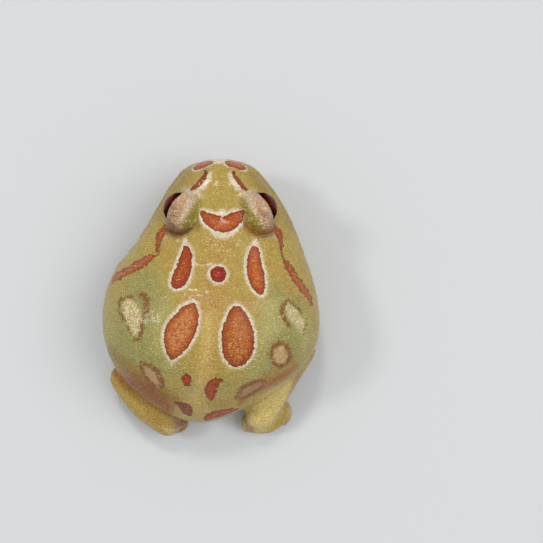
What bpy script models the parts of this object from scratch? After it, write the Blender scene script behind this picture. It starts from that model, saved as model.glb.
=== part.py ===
"""An Argentine horned frog at rest: a life-size young animal, as a museum shows it.

The frog faces -Y and rests on its belly, hands and feet at z = 0. Every size below is in
millimetres, and the finished pieces are scaled to metres. The trunk is one lofted form that
thin blades part into head, lower jaw and torso. Each limb segment is a rounded tube. Where
two pieces lie against each other the outer one is a whole form, and the one behind it is
hollowed by the same form swollen by the gap.
"""

import math

import bmesh
import bpy
import numpy as np
from mathutils import Matrix, Vector

MM = 0.001
GAP = 0.3
SHORTEST_EDGE = 0.01
FLOOR = 0.0

# The trunk from snout to vent: place along Y, middle in X, half width, level of the
# widest line, top, underside, and how far the lower half is drawn in under the upper.
# On the head the widest line is the line of the mouth.
STATIONS = {
    "snout": (-17.1, -0.9, 0.0, 7.3, 7.3, 7.3, 0.0),
    "lip": (-16.35, -0.95, 3.5, 7.1, 10.2, 4.5, 0.05),
    "nostrils": (-14.35, -1.0, 5.6, 6.8, 11.7, 3.0, 0.08),
    "eyes": (-11.4, -1.1, 7.6, 6.4, 12.6, 1.9, 0.1),
    "cheeks": (-8.2, -0.9, 9.4, 5.9, 13.1, 1.3, 0.14),
    "nape": (-5.2, -0.4, 11.2, 5.6, 13.5, 0.6, 0.3),
    "shoulders": (-2.0, 0.1, 12.8, 5.8, 14.2, -0.6, 0.34),
    "back": (2.0, 0.2, 13.6, 6.0, 15.2, -1.2, 0.12),
    "loins": (6.0, 0.1, 13.2, 6.1, 15.2, -1.2, 0.2),
    "hips": (9.6, 0.5, 11.1, 6.3, 13.6, -0.9, 0.34),
    "rump": (12.6, 1.1, 7.6, 6.2, 10.8, 0.3, 0.3),
    "tail": (14.8, 1.4, 3.9, 6.0, 8.2, 2.6, 0.1),
    "vent": (15.8, 1.5, 0.0, 5.9, 5.9, 5.9, 0.0),
}
RINGS_PER_STATION = 4
RING_POINTS = 44
SIDE_CROWDING = 0.45
ROUND_TOP = 2.15
ROUND_BELLY = 2.4
TUCK_DEPTH = 0.55
TOP_OF_RING = (0.2, 0.6)
BLADE_REACH = 22.0

NECK_LINE = ((-4.4, 20.0), (-4.9, 11.0), (-6.5, 5.4), (-7.7, 1.0), (-7.9, -2.0))
MOUTH_START = (-20.0, 7.6)
HEAD_STATIONS = ("snout", "lip", "nostrils", "eyes", "cheeks")
LIP_END_Y = -7.2
LIP_FADE = 1.4
LIP_RISE = 0.3
LIP_HEIGHT = 0.8
LIP_MIDDLE = 0.45
LIP_SOFTNESS = 0.4
LIP_EDGE = 0.05
LIP_FULL_HALF = 3.0
JAW_TUCK = 0.35
BROW_HOLLOW = 0.5
BROW_HOLLOW_WIDTH = 1.9
BROW_HOLLOW_LENGTH = 2.2
CANTHUS_RISE = 0.42
CANTHUS_WIDTH = 0.75
CANTHUS_LENGTH = 0.75
CANTHUS_OUT = (1.9, 3.0)
CANTHUS_Y = (-15.2, -13.0)

HEAD_MIDDLE_X = -1.2
OUTSIDE = 20.0
NOSTRIL_OUT = 1.8
NOSTRIL_Y = -15.4
NOSTRIL_RADIUS = 0.3
NOSTRIL_RIM = 0.62
NOSTRIL_SINK = 0.36
NOSTRIL_DEPTH = 0.55
NOSTRIL_TAPER = 0.5
EAR_Y = -7.9
EAR_LEVEL = 9.0
EAR_RADIUS = 1.0
EAR_GROOVE = 0.24
EAR_POINTS = 16

EYE_RADIUS = 1.78
EYE_DEPTH = 0.3
EYE_OUT = 4.92
EYE_Y = -10.8
EYE_LEVEL = 11.2
EYE_BACK_CUTTER = 4.0
GAZE_FORWARD = 32
GAZE_UP = 8
LID_FROM_EYE = (-0.2, 0.7, -0.1)
LID_RADII = (2.2, 2.85, 3.05)
LID_TURN = 16
LID_THICKNESS = 0.5
SIGHT_REACH = (1.0, 4.5)
# How far the lids open from the line of sight: along the head, upwards and downwards.
LID_ANGLES = (70, 53, 48)
# The horn's middle line from the eye's centre, with X outwards, and its radius at each point.
HORN_LINE = ((0.1, 0.4, 1.3), (0.3, 0.35, 2.2), (0.5, 0.3, 2.85))
HORN_RADII = (2.0, 1.5, 0.7)

# Each limb segment: the points of its middle line, and its radius at each.
LIMBS = {
    "upper_arm_l": (((8.0, -4.4, 5.0), (9.9, -3.0, 4.4), (11.0, -1.7, 3.8)), (2.2, 2.0, 1.75)),
    "forearm_l": (((11.5, -0.7, 2.6), (10.8, -3.2, 2.2), (8.9, -5.3, 1.6)), (1.8, 1.75, 1.15)),
    "upper_arm_r": (((-8.2, -4.0, 5.0), (-9.8, -2.6, 4.4), (-10.6, -1.3, 3.8)), (2.2, 2.0, 1.75)),
    "forearm_r": (((-11.0, -0.3, 2.6), (-10.5, -2.9, 2.2), (-9.2, -5.1, 1.6)), (1.8, 1.75, 1.15)),
    "thigh_l": (((4.4, 12.0, 4.5), (7.2, 11.5, 4.3), (9.8, 10.0, 3.9)), (2.6, 2.6, 2.3)),
    "shank_l": (((11.3, 10.5, 3.3), (8.75, 13.4, 3.3), (5.9, 15.9, 2.8)), (1.9, 2.2, 2.05)),
    "thigh_r": (((-3.2, 12.0, 4.5), (-6.55, 10.85, 4.3), (-9.5, 8.4, 4.0)), (2.6, 2.7, 2.4)),
    "shank_r": (((-11.2, 6.8, 3.6), (-8.5, 10.6, 3.7), (-6.0, 14.9, 3.1)), (1.95, 2.1, 2.1)),
}

# Each hand or foot: the palm's middle line and half widths, where the digits leave it,
# their headings in degrees from straight ahead towards +X, and their lengths.
PAWS = {
    "hand_l": {
        "line": ((8.3, -5.7, 1.15), (6.8, -7.0, 0.85)),
        "widths": (1.15, 1.45),
        "knuckles": (6.4, -7.3, 0.6),
        "headings": (-98, -66, -36, -6),
        "lengths": (2.5, 3.0, 3.5, 2.8),
    },
    "hand_r": {
        "line": ((-8.7, -5.5, 1.15), (-7.3, -6.9, 0.85)),
        "widths": (1.15, 1.45),
        "knuckles": (-6.9, -7.2, 0.6),
        "headings": (94, 62, 32, 3),
        "lengths": (2.5, 3.0, 3.5, 2.8),
    },
    "foot_l": {
        "line": ((4.9, 16.1, 1.6), (6.7, 15.0, 1.2), (8.3, 13.3, 0.85)),
        "widths": (1.65, 1.65, 1.45),
        "knuckles": (8.4, 13.1, 0.6),
        "headings": (8, 28, 48, 68, 90),
        "lengths": (2.0, 2.6, 3.1, 2.6, 2.0),
    },
    "foot_r": {
        "line": ((-5.1, 16.1, 1.8), (-6.7, 15.8, 1.5), (-8.1, 15.1, 1.1)),
        "widths": (1.6, 1.9, 1.65),
        "knuckles": (-8.1, 15.1, 0.6),
        "headings": (-52, -76, -98, -120, -144),
        "lengths": (1.5, 1.5, 1.5, 1.5, 1.5),
    },
}
SPADES = {"foot_l": (4.2, 15.0, 1.5), "foot_r": (-4.5, 16.9, 1.5)}
SPADE_RADII = (0.95, 0.7, 0.75)
PALM_FLAT = 0.6
DIGIT_RADIUS = 0.55
DIGIT_ARCH = 0.35
# Where a digit's root, joint and tip lie along it, how thick it is there, and how high.
DIGIT_ALONG = (0.0, 0.5, 1.0)
DIGIT_TAPER = (1.1, 1.0, 0.9)
DIGIT_HEIGHTS = (DIGIT_RADIUS + DIGIT_ARCH, DIGIT_RADIUS + 0.8 * DIGIT_ARCH, 0.8 * DIGIT_RADIUS)
TUBE_SIDES = 12
DIGIT_SIDES = 7
ROUND_END = (25, 60)

COLOURS = {
    "skin": (0.62, 0.52, 0.16),
    "throat": (0.74, 0.66, 0.46),
    "eye": (0.10, 0.008, 0.006),
}
ROUGHNESS = 0.4


def clear_scene():
    for obj in list(bpy.data.objects):
        bpy.data.objects.remove(obj)


def new_collection(name):
    collection = bpy.data.collections.new(name)
    bpy.context.scene.collection.children.link(collection)
    return collection


def material(name, colour, roughness):
    made = bpy.data.materials.new(name)
    made.use_nodes = True
    shader = made.node_tree.nodes["Principled BSDF"]
    shader.inputs["Base Color"].default_value = (*colour, 1.0)
    shader.inputs["Roughness"].default_value = roughness
    shader.inputs["Metallic"].default_value = 0.0
    return made


def object_from(name, shape):
    """A new object in the frog's collection that holds this bmesh."""
    shape.normal_update()
    bmesh.ops.recalc_face_normals(shape, faces=shape.faces)
    mesh = bpy.data.meshes.new(name)
    shape.to_mesh(mesh)
    shape.free()
    obj = bpy.data.objects.new(name, mesh)
    FROG.objects.link(obj)
    return obj


def remove(objects):
    for obj in objects:
        bpy.data.objects.remove(obj)


def through(values, count):
    """A smooth curve through rows of values, with count steps from one row to the next."""
    rows = np.array(values, float)
    before = 2 * rows[0] - rows[1]
    after = 2 * rows[-1] - rows[-2]
    rows = np.vstack([before, rows, after])
    points = []
    for i in range(1, len(rows) - 2):
        a, b, c, d = rows[i - 1 : i + 3]
        for t in np.arange(count) / count:
            square = (a - 2.5 * b + 2 * c - d / 2) * t**2
            cube = (1.5 * (b - c) + (d - a) / 2) * t**3
            points.append(b + (c - a) * t / 2 + square + cube)
    points.append(rows[-2])
    return np.array(points)


def loft(name, rings, first, last):
    """A closed skin over rings of points, with a pole at each end."""
    shape = bmesh.new()
    rows = [[shape.verts.new(p) for p in ring] for ring in rings]
    poles = [shape.verts.new(first), shape.verts.new(last)]
    around = len(rows[0])
    for row, following in zip(rows, rows[1:]):
        for j in range(around):
            k = (j + 1) % around
            shape.faces.new((row[j], row[k], following[k], following[j]))
    for pole, row in zip(poles, (rows[0], rows[-1])):
        for j in range(around):
            shape.faces.new((pole, row[j], row[(j + 1) % around]))
    return object_from(name, shape)


def mirrored_ends(rows):
    """The stations next to the two ends, turned over, so that the form rounds off there."""
    first, last = rows[1].copy(), rows[-2].copy()
    for end, row in ((rows[0], first), (rows[-1], last)):
        row[2] = -row[2]
        row[3:6] = 2 * end[3:6] - row[3:6]
    return first, last


def trunk_profile():
    rows = np.array(list(STATIONS.values()), float)
    first, last = mirrored_ends(rows)
    whole = through(np.vstack([first, rows, last]), RINGS_PER_STATION)
    return whole[RINGS_PER_STATION:-RINGS_PER_STATION]


def smoothstep(low, high, value):
    t = np.clip((value - low) / (high - low), 0, 1)
    return t * t * (3 - 2 * t)


def power(value, exponent):
    return np.sign(value) * np.abs(value) ** exponent


def bell(distance, width):
    return np.exp(-((distance / width) ** 2))


def trunk_rings():
    turn = np.arange(RING_POINTS) * 2 * math.pi / RING_POINTS
    turn = turn - SIDE_CROWDING * np.sin(2 * turn) / 2
    across, up = np.cos(turn), np.sin(turn)
    bend = np.where(up >= 0, 2 / ROUND_TOP, 2 / ROUND_BELLY)
    rings = []
    for y, middle, half, level, top, base, tuck in trunk_profile()[1:-1]:
        height = np.where(up >= 0, top - level, level - base)
        drawn_in = 1 - tuck * smoothstep(0, TUCK_DEPTH, -up)
        x = middle + half * power(across, bend) * drawn_in
        z = level + height * power(up, bend)
        x = x + lips(y, half, level, x - middle, z, up)
        z = z + brow(y, x) * smoothstep(*TOP_OF_RING, up)
        rings.append(np.column_stack([x, np.full_like(x, y), np.maximum(z, FLOOR)]))
    return rings


def lips(y, half, level, out, z, up):
    """How far the lips swell, and how far the lower jaw is drawn in under the upper lip."""
    on_head = 1 - smoothstep(LIP_END_Y - LIP_FADE, LIP_END_Y + LIP_FADE, y)
    below = smoothstep(0, LIP_EDGE, -up)
    swell = LIP_RISE * bell(np.abs(z - level) / LIP_HEIGHT - LIP_MIDDLE, LIP_SOFTNESS)
    reach = min(1, half / LIP_FULL_HALF)
    return np.sign(out) * reach * on_head * (swell - JAW_TUCK * below)


def brow(y, x):
    """The hollow between the eyes and the ridge from each nostril to its eye."""
    out = np.abs(x - HEAD_MIDDLE_X)
    hollow = BROW_HOLLOW * bell(out, BROW_HOLLOW_WIDTH) * bell(y - EYE_Y, BROW_HOLLOW_LENGTH)
    along = (y - CANTHUS_Y[0]) / (CANTHUS_Y[1] - CANTHUS_Y[0])
    ridge_out = CANTHUS_OUT[0] + (CANTHUS_OUT[1] - CANTHUS_OUT[0]) * along
    on_ridge = bell(along - 0.5, CANTHUS_LENGTH)
    return CANTHUS_RISE * on_ridge * bell(out - ridge_out, CANTHUS_WIDTH) - hollow


def trunk(name):
    profile = trunk_profile()
    ends = [Vector((row[1], row[0], row[3])) for row in (profile[0], profile[-1])]
    return loft(name, trunk_rings(), *ends)


def on_surface(obj, start, direction):
    """Where a line first meets the object, and the surface's normal there."""
    bpy.context.view_layer.update()
    _, place, normal, _ = obj.ray_cast(Vector(start), Vector(direction))
    return place, normal


def apply_modifiers(obj):
    bpy.context.view_layer.update()
    graph = bpy.context.evaluated_depsgraph_get()
    mesh = bpy.data.meshes.new_from_object(obj.evaluated_get(graph))
    obj.modifiers.clear()
    obj.data = mesh


def join(name, pieces):
    """One closed body from pieces that overlap, by a Boolean union."""
    first, others = pieces[0], pieces[1:]
    group = new_collection("pieces of " + name)
    for piece in others:
        FROG.objects.unlink(piece)
        group.objects.link(piece)
    union = first.modifiers.new("join", "BOOLEAN")
    union.operation = "UNION"
    union.operand_type = "COLLECTION"
    union.collection = group
    apply_modifiers(first)
    remove(others)
    bpy.data.collections.remove(group)
    first.name = name
    return keep_largest(first)


def cut(obj, cutters):
    """Takes the cutters' volume out of the object, one after another, and removes them."""
    for cutter in cutters:
        take = obj.modifiers.new("cut", "BOOLEAN")
        take.operation = "DIFFERENCE"
        take.object = cutter
        take.solver = "MANIFOLD"
        apply_modifiers(obj)
    remove(cutters)
    return obj


def islands(shape):
    """The mesh's separate surfaces, each a list of faces, from the smallest volume up."""
    left = set(shape.faces)
    found = []
    while left:
        stack = [left.pop()]
        island = []
        while stack:
            face = stack.pop()
            island.append(face)
            for edge in face.edges:
                for other in edge.link_faces:
                    if other in left:
                        left.remove(other)
                        stack.append(other)
        found.append(island)
    return sorted(found, key=surface_volume)


def surface_volume(faces):
    total = 0.0
    for face in faces:
        corners = [v.co for v in face.verts]
        for b, c in zip(corners[1:], corners[2:]):
            total += corners[0].dot(b.cross(c)) / 6
    return total


def keep_surface(obj, rank):
    """Drops every surface of the mesh but one, counted from the largest."""
    shape = bmesh.new()
    shape.from_mesh(obj.data)
    found = islands(shape)
    found.pop(-1 - rank)
    scraps = [face for island in found for face in island]
    bmesh.ops.delete(shape, geom=scraps, context="FACES")
    loose = [v for v in shape.verts if not v.link_faces]
    bmesh.ops.delete(shape, geom=loose, context="VERTS")
    shape.to_mesh(obj.data)
    shape.free()
    return obj


def keep_largest(obj):
    return keep_surface(obj, 0)


def split(obj, names):
    """Parts an object that blades have cut through into bodies, named from the largest."""
    bodies = []
    for rank, name in enumerate(names):
        body = bpy.data.objects.new(name, obj.data.copy())
        FROG.objects.link(body)
        bodies.append(keep_surface(body, rank))
    remove([obj])
    return bodies


def blade(name, line):
    """A sheet as thin as the gap that follows a line in the YZ plane, right across the body."""
    points = [Vector((0, y, z)) for y, z in line]
    sides = []
    for i, point in enumerate(points):
        along = points[min(i + 1, len(points) - 1)] - points[max(i - 1, 0)]
        along.normalize()
        sides.append(Vector((0, -along.z, along.y)) * GAP / 2)
    outline = [p + s for p, s in zip(points, sides)]
    outline += [p - s for p, s in reversed(list(zip(points, sides)))]
    shape = bmesh.new()
    near = [shape.verts.new(p - Vector((BLADE_REACH, 0, 0))) for p in outline]
    far = [shape.verts.new(p + Vector((BLADE_REACH, 0, 0))) for p in outline]
    shape.faces.new(near)
    shape.faces.new(list(reversed(far)))
    for i in range(len(outline)):
        j = (i + 1) % len(outline)
        shape.faces.new((near[i], far[i], far[j], near[j]))
    bmesh.ops.triangulate(shape, faces=[f for f in shape.faces if len(f.verts) > 4])
    return object_from(name, shape)


def ball(name, centre, radii, turn=0.0, segments=20, rings=12):
    shape = bmesh.new()
    bmesh.ops.create_uvsphere(shape, u_segments=segments, v_segments=rings, radius=1.0)
    place = Matrix.Translation(centre) @ Matrix.Rotation(turn, 4, "Z")
    shape.transform(place @ Matrix.Diagonal((*radii, 1.0)))
    return object_from(name, shape)


def cone(name, foot, tip, radius, tip_radius, sides=10):
    along = tip - foot
    shape = bmesh.new()
    bmesh.ops.create_cone(
        shape,
        cap_ends=True,
        segments=sides,
        radius1=radius,
        radius2=tip_radius,
        depth=along.length,
    )
    turn = along.to_track_quat("Z", "Y").to_matrix().to_4x4()
    shape.transform(Matrix.Translation((foot + tip) / 2) @ turn)
    return object_from(name, shape)


def hoop(name, points, radius, sides=8):
    """A closed ring of round section along a loop of points round their own middle."""
    middle = sum(points, Vector()) / len(points)
    shape = bmesh.new()
    rows = []
    for i, point in enumerate(points):
        along = (points[(i + 1) % len(points)] - points[i - 1]).normalized()
        out = (point - middle).normalized()
        out = (out - along * out.dot(along)).normalized()
        over = along.cross(out)
        turns = [2 * math.pi * j / sides for j in range(sides)]
        ring = [point + radius * (math.cos(t) * out + math.sin(t) * over) for t in turns]
        rows.append([shape.verts.new(p) for p in ring])
    for row, following in zip(rows, rows[1:] + rows[:1]):
        for j in range(sides):
            k = (j + 1) % sides
            shape.faces.new((row[j], row[k], following[k], following[j]))
    return object_from(name, shape)


def tube(name, points, radii, swell=0.0, flat=1.0, sides=TUBE_SIDES, steps=4):
    """A round-ended tube along a smooth line. flat is its height over its width."""
    line = through(np.column_stack([points, radii]), steps)
    centres, sizes = line[:, :3], line[:, 3] + swell
    flat = (flat * np.mean(radii) + swell) / (np.mean(radii) + swell)
    along = np.gradient(centres, axis=0)
    along /= np.linalg.norm(along, axis=1)[:, None]
    rings = list(zip(centres, sizes, along))
    for degrees in reversed(ROUND_END):
        back = math.cos(math.radians(degrees))
        size = math.sin(math.radians(degrees))
        rings.insert(0, (centres[0] - along[0] * sizes[0] * back, sizes[0] * size, along[0]))
        rings.append((centres[-1] + along[-1] * sizes[-1] * back, sizes[-1] * size, along[-1]))
    around = np.arange(sides) * 2 * math.pi / sides
    made = []
    for centre, size, direction in rings:
        level = np.cross(direction, (0, 0, 1.0))
        level /= np.linalg.norm(level)
        up = np.cross(level, direction)
        spread = np.outer(np.cos(around), level) + flat * np.outer(np.sin(around), up)
        made.append(on_floor(centre + size * spread, swell))
    first = centres[0] - along[0] * sizes[0]
    last = centres[-1] + along[-1] * sizes[-1]
    return loft(name, made, on_floor(first, swell), on_floor(last, swell))


def on_floor(points, swell):
    """The same points with whatever would sink below the floor laid flat on it."""
    lifted = np.array(points)
    lifted[..., 2] = np.maximum(lifted[..., 2], FLOOR - swell)
    return lifted


def digit(knuckles, heading, length, swell):
    """One finger or toe that arches from the knuckles down to a rounded tip on the floor."""
    turn = math.radians(heading)
    way = np.array([math.sin(turn), -math.cos(turn), 0])
    points = np.array([np.array(knuckles) + way * length * t for t in DIGIT_ALONG])
    points[:, 2] = DIGIT_HEIGHTS
    radii = DIGIT_RADIUS * np.array(DIGIT_TAPER)
    return tube("digit", points, radii, swell, sides=DIGIT_SIDES, steps=2)


def paw_forms(name, swell=0.0):
    """A flat palm with the digits spread from its end, and on a foot the heel spade."""
    plan = PAWS[name]
    forms = [tube(name, plan["line"], plan["widths"], swell, PALM_FLAT, steps=3)]
    for heading, length in zip(plan["headings"], plan["lengths"]):
        forms.append(digit(plan["knuckles"], heading, length, swell))
    if name in SPADES:
        radii = [r + swell for r in SPADE_RADII]
        forms.append(ball("spade", SPADES[name], radii, segments=12, rings=8))
    return forms


def side_of(side):
    return 1 if side == "l" else -1


def eye_centre(side):
    return Vector((HEAD_MIDDLE_X + side_of(side) * EYE_OUT, EYE_Y, EYE_LEVEL))


def gaze(side):
    """The way the eye looks, and the two ways across it: along the head, and up."""
    forward, rise = math.radians(GAZE_FORWARD), math.radians(GAZE_UP)
    out = side_of(side) * math.cos(forward)
    ahead = Vector((out * math.cos(rise), -math.sin(forward) * math.cos(rise), math.sin(rise)))
    along = ahead.cross(Vector((0, 0, 1))).normalized()
    return ahead, along, along.cross(ahead)


def eye(side, swell=0.0):
    """The front of the eyeball, as deep as the lids show it."""
    centre, ahead = eye_centre(side), gaze(side)[0]
    far, near = centre - ahead * EYE_BACK_CUTTER, centre - ahead * (EYE_DEPTH + swell)
    back = cone("back", far, near, EYE_BACK_CUTTER, EYE_BACK_CUTTER)
    return cut(ball("eye_" + side, centre, [EYE_RADIUS + swell] * 3), [back])


def eye_opening(side, reach, points=16):
    """The loop of the lids' edge round the eye, this far from the eye's centre."""
    ahead, along, up = gaze(side)
    loop = []
    for i in range(points):
        turn = 2 * math.pi * i / points
        level, upright = math.cos(turn) ** 2, math.sin(turn) ** 2
        lid = LID_ANGLES[1] if math.sin(turn) > 0 else LID_ANGLES[2]
        open_by = math.radians(level * LID_ANGLES[0] + upright * lid)
        across = math.cos(turn) * along + math.sin(turn) * up
        loop.append(eye_centre(side) + reach * (math.cos(open_by) * ahead + math.sin(open_by) * across))
    return loop


def sight_cone(side):
    """The space in front of the eye that the lids leave open."""
    near, far = (eye_opening(side, reach) for reach in SIGHT_REACH)
    centre = eye_centre(side)
    return loft("sight", [near, far], centre, centre + gaze(side)[0] * SIGHT_REACH[1])


def lid_forms(side, swell=0.0):
    """The fleshy dome behind the eye, the capsule round it, and the blunt horn on top."""
    out = side_of(side)
    centre = eye_centre(side)
    middle = centre + Vector((out * LID_FROM_EYE[0], *LID_FROM_EYE[1:]))
    radii = [r + swell for r in LID_RADII]
    dome = ball("dome", middle, radii, turn=-out * math.radians(LID_TURN))
    capsule = ball("capsule", centre, [EYE_RADIUS + GAP + LID_THICKNESS + swell] * 3)
    line = [centre + Vector((out * x, y, z)) for x, y, z in HORN_LINE]
    return [dome, capsule, tube("horn", line, HORN_RADII, swell, steps=2)]


def eyelids(side):
    """The flesh round one eye, opened in front of the eyeball and hollowed to hold it."""
    lids = join("eyelids_" + side, lid_forms(side))
    return keep_largest(cut(lids, [sight_cone(side), eye(side, GAP)]))


def face_details(body):
    """Raises a rim round each nostril, then sinks the nostrils and the rings of the ears."""
    rims, pits, grooves = [], [], []
    for side in "lr":
        out = side_of(side)
        above = (HEAD_MIDDLE_X + out * NOSTRIL_OUT, NOSTRIL_Y, OUTSIDE)
        place, normal = on_surface(body, above, (0, 0, -1))
        rims.append(ball("rim", place - normal * NOSTRIL_SINK, [NOSTRIL_RIM] * 3, segments=10, rings=8))
        top, bottom = place + normal * NOSTRIL_RIM, place - normal * NOSTRIL_DEPTH
        narrow = NOSTRIL_RADIUS * NOSTRIL_TAPER
        pits.append(cone("pit", bottom, top, narrow, NOSTRIL_RADIUS, sides=8))
        beside = (HEAD_MIDDLE_X + out * OUTSIDE, EAR_Y, EAR_LEVEL)
        grooves.append(ear_groove(*on_surface(body, beside, (-out, 0, 0))))
    return cut(join("trunk", [body, *rims]), pits + grooves)


def ear_groove(place, normal):
    """The ring round an eardrum, half sunk in the side of the head."""
    along = normal.cross(Vector((0, 0, 1))).normalized()
    up = along.cross(normal)
    turns = [2 * math.pi * i / EAR_POINTS for i in range(EAR_POINTS)]
    loop = [place + EAR_RADIUS * (math.cos(t) * along + math.sin(t) * up) for t in turns]
    return hoop("ear groove", loop, EAR_GROOVE, sides=6)


def mouth_line():
    """The line of the mouth seen from the side, from before the snout back to the neck."""
    levels = [(STATIONS[name][0], STATIONS[name][3]) for name in HEAD_STATIONS]
    return [MOUTH_START, *levels, NECK_LINE[2]]


def boxes_meet(first, second):
    a = np.array([v.co for v in first.data.vertices])
    b = np.array([v.co for v in second.data.vertices])
    return bool(np.all(a.min(0) < b.max(0)) and np.all(b.min(0) < a.max(0)))


def forms_of(name, swell):
    """The simple solids that a piece is made of, swollen by this much."""
    if name in PAWS:
        return paw_forms(name, swell)
    if name in LIMBS:
        line, radii = LIMBS[name]
        return [tube(name, line, radii, swell)]
    return lid_forms(name[-1], swell)


def hollow_to_take(piece, others):
    """Hollows one piece to take the others that lie in it, with the gap all round."""
    for other in others:
        for hollow in forms_of(other, GAP):
            if boxes_meet(piece, hollow):
                cut(piece, [hollow])
            else:
                remove([hollow])
    keep_largest(piece)


def limb_pieces():
    """Arms, legs, hands and feet, each hollowed to take the next piece out."""
    parts = {name: join(name, paw_forms(name)) for name in PAWS}
    for name, (line, radii) in LIMBS.items():
        parts[name] = tube(name, line, radii)
    for side in "lr":
        hand, foot = "hand_" + side, "foot_" + side
        hollow_to_take(parts["forearm_" + side], [hand])
        hollow_to_take(parts["upper_arm_" + side], ["forearm_" + side, hand])
        hollow_to_take(parts["shank_" + side], [foot])
        hollow_to_take(parts["thigh_" + side], ["shank_" + side, foot])
    return parts


def trunk_pieces(others):
    """Head, lower jaw and torso parted along the mouth and the neck, hollowed for the rest."""
    body = face_details(trunk("trunk"))
    cut(body, [blade("mouth", mouth_line()), blade("neck", NECK_LINE)])
    pieces = split(body, ["torso", "head", "lower_jaw"])
    for piece in pieces:
        hollow_to_take(piece, others)
    return {piece.name: piece for piece in pieces}


def clean(obj):
    """Merges the slivers that cutting leaves, and turns every face to triangles."""
    shape = bmesh.new()
    shape.from_mesh(obj.data)
    bmesh.ops.triangulate(shape, faces=shape.faces)
    bmesh.ops.dissolve_degenerate(shape, dist=SHORTEST_EDGE, edges=shape.edges)
    bmesh.ops.triangulate(shape, faces=shape.faces)
    shape.to_mesh(obj.data)
    shape.free()


def main():
    flesh = {"eyelids_" + side: eyelids(side) for side in "lr"}
    flesh.update(limb_pieces())
    parts = {**flesh, **trunk_pieces(list(flesh))}
    for side in "lr":
        parts["eye_" + side] = eye(side)
    finishes = {key: material(key, colour, ROUGHNESS) for key, colour in COLOURS.items()}
    for name, obj in parts.items():
        finish = {"eye_l": "eye", "eye_r": "eye", "lower_jaw": "throat"}.get(name, "skin")
        clean(obj)
        obj.data.transform(Matrix.Scale(MM, 4))
        obj.data.materials.clear()
        obj.data.materials.append(finishes[finish])
        obj.data.shade_smooth()


clear_scene()
FROG = new_collection("horned_frog")
main()
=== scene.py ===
# %% [markdown]
# # A young Argentine horned frog, seen from straight above
#
# The solids of the frog are already made: torso, head, jaw, lids, eyes and limbs, each a
# closed form with a thin gap to the next. They are the frame that everything here keeps to.
# This script gives them one living skin, paints its marks, sets in the eyes and lights it.
# Lengths are in millimetres while a shape is worked on, and become metres when it is done.

import math

import bmesh
import bpy
import numpy as np
from mathutils import Matrix, Vector, noise
from mathutils.bvhtree import BVHTree


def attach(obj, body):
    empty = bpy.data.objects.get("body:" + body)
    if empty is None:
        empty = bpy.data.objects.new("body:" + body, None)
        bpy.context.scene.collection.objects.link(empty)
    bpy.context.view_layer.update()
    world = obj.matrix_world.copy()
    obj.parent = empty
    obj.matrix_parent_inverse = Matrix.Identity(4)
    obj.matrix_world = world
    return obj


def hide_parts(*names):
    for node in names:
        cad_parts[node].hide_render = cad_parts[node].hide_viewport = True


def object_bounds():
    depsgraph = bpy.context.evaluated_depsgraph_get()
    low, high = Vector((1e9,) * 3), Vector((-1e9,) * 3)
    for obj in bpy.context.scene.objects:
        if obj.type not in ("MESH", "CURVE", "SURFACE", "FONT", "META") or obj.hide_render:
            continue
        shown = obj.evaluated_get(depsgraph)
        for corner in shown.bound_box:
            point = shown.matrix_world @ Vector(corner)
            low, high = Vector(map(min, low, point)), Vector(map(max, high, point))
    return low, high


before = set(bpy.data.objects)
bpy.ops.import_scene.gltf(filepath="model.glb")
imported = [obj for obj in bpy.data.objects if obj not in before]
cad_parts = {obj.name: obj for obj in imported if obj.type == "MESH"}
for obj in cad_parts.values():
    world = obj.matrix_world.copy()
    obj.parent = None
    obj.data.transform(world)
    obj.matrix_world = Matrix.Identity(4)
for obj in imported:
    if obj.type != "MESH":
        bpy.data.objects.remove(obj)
cad_low, cad_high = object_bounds()
MM = 0.001
size = [(high - low) / MM for low, high in zip(cad_low, cad_high)]
print("the frog is %.1f mm wide, %.1f mm long and %.1f mm high" % tuple(size))

# %% [markdown]
# ## The camera
#
# The photograph looks straight down on the frog from about a hand's length above its back.
# A camera could be aimed with an empty to track, but here it is simpler to give its place
# and turn: down the Z axis, with the top of the picture towards the frog's nose, which
# faces -Y. The same numbers turn a pixel of the photograph into a line of sight, so a mark
# that was read off the picture can be set down on the skin below it.

# %% Camera and lines of sight
# The photograph spans VIEW_WIDTH at SHARP_LEVEL, the height of the frog's widest line.
PHOTO_PIXELS = 543
CAMERA_PLACE = Vector((-7.4375, -3.1875, 177.0))
SHARP_LEVEL = 7.0
VIEW_WIDTH = 67.875
PIXEL = VIEW_WIDTH / PHOTO_PIXELS
SENSOR = 36.0


def sight_line(u, v):
    """Start and direction of the line from the camera through a pixel of the photograph."""
    across = (PHOTO_PIXELS / 2 - u) * PIXEL
    down = (v - PHOTO_PIXELS / 2) * PIXEL
    target = Vector((CAMERA_PLACE.x + across, CAMERA_PLACE.y + down, SHARP_LEVEL))
    return CAMERA_PLACE, (target - CAMERA_PLACE).normalized()


camera = bpy.data.objects.new("camera", bpy.data.cameras.new("camera"))
bpy.context.scene.collection.objects.link(camera)
camera.data.sensor_width = SENSOR
camera.data.lens = SENSOR * (CAMERA_PLACE.z - SHARP_LEVEL) / VIEW_WIDTH
camera.data.clip_start = MM
camera.location = CAMERA_PLACE * MM
camera.rotation_euler = (0, 0, math.pi)
bpy.context.scene.camera = camera
print("lens of %.1f mm, %.0f mm above the floor" % (camera.data.lens, CAMERA_PLACE.z))

# %% [markdown]
# ## One skin over the solids
#
# A frog's skin runs without a seam from snout to toes, loose and soft over what it covers.
# Painting the separate solids would leave their gaps showing. Sculpting by hand would give
# a good skin but no script. So the solids are treated as clay: each is swollen a little,
# until the gaps close, the whole is remeshed in fine cells, and the new surface is drawn
# back by as much. The eyeballs stay out of it, and the opening of the lids stays open.

# %% Meshes as arrays
MERGE = 1e-6
FLESH = sorted(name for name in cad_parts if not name.startswith("eye_"))


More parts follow.
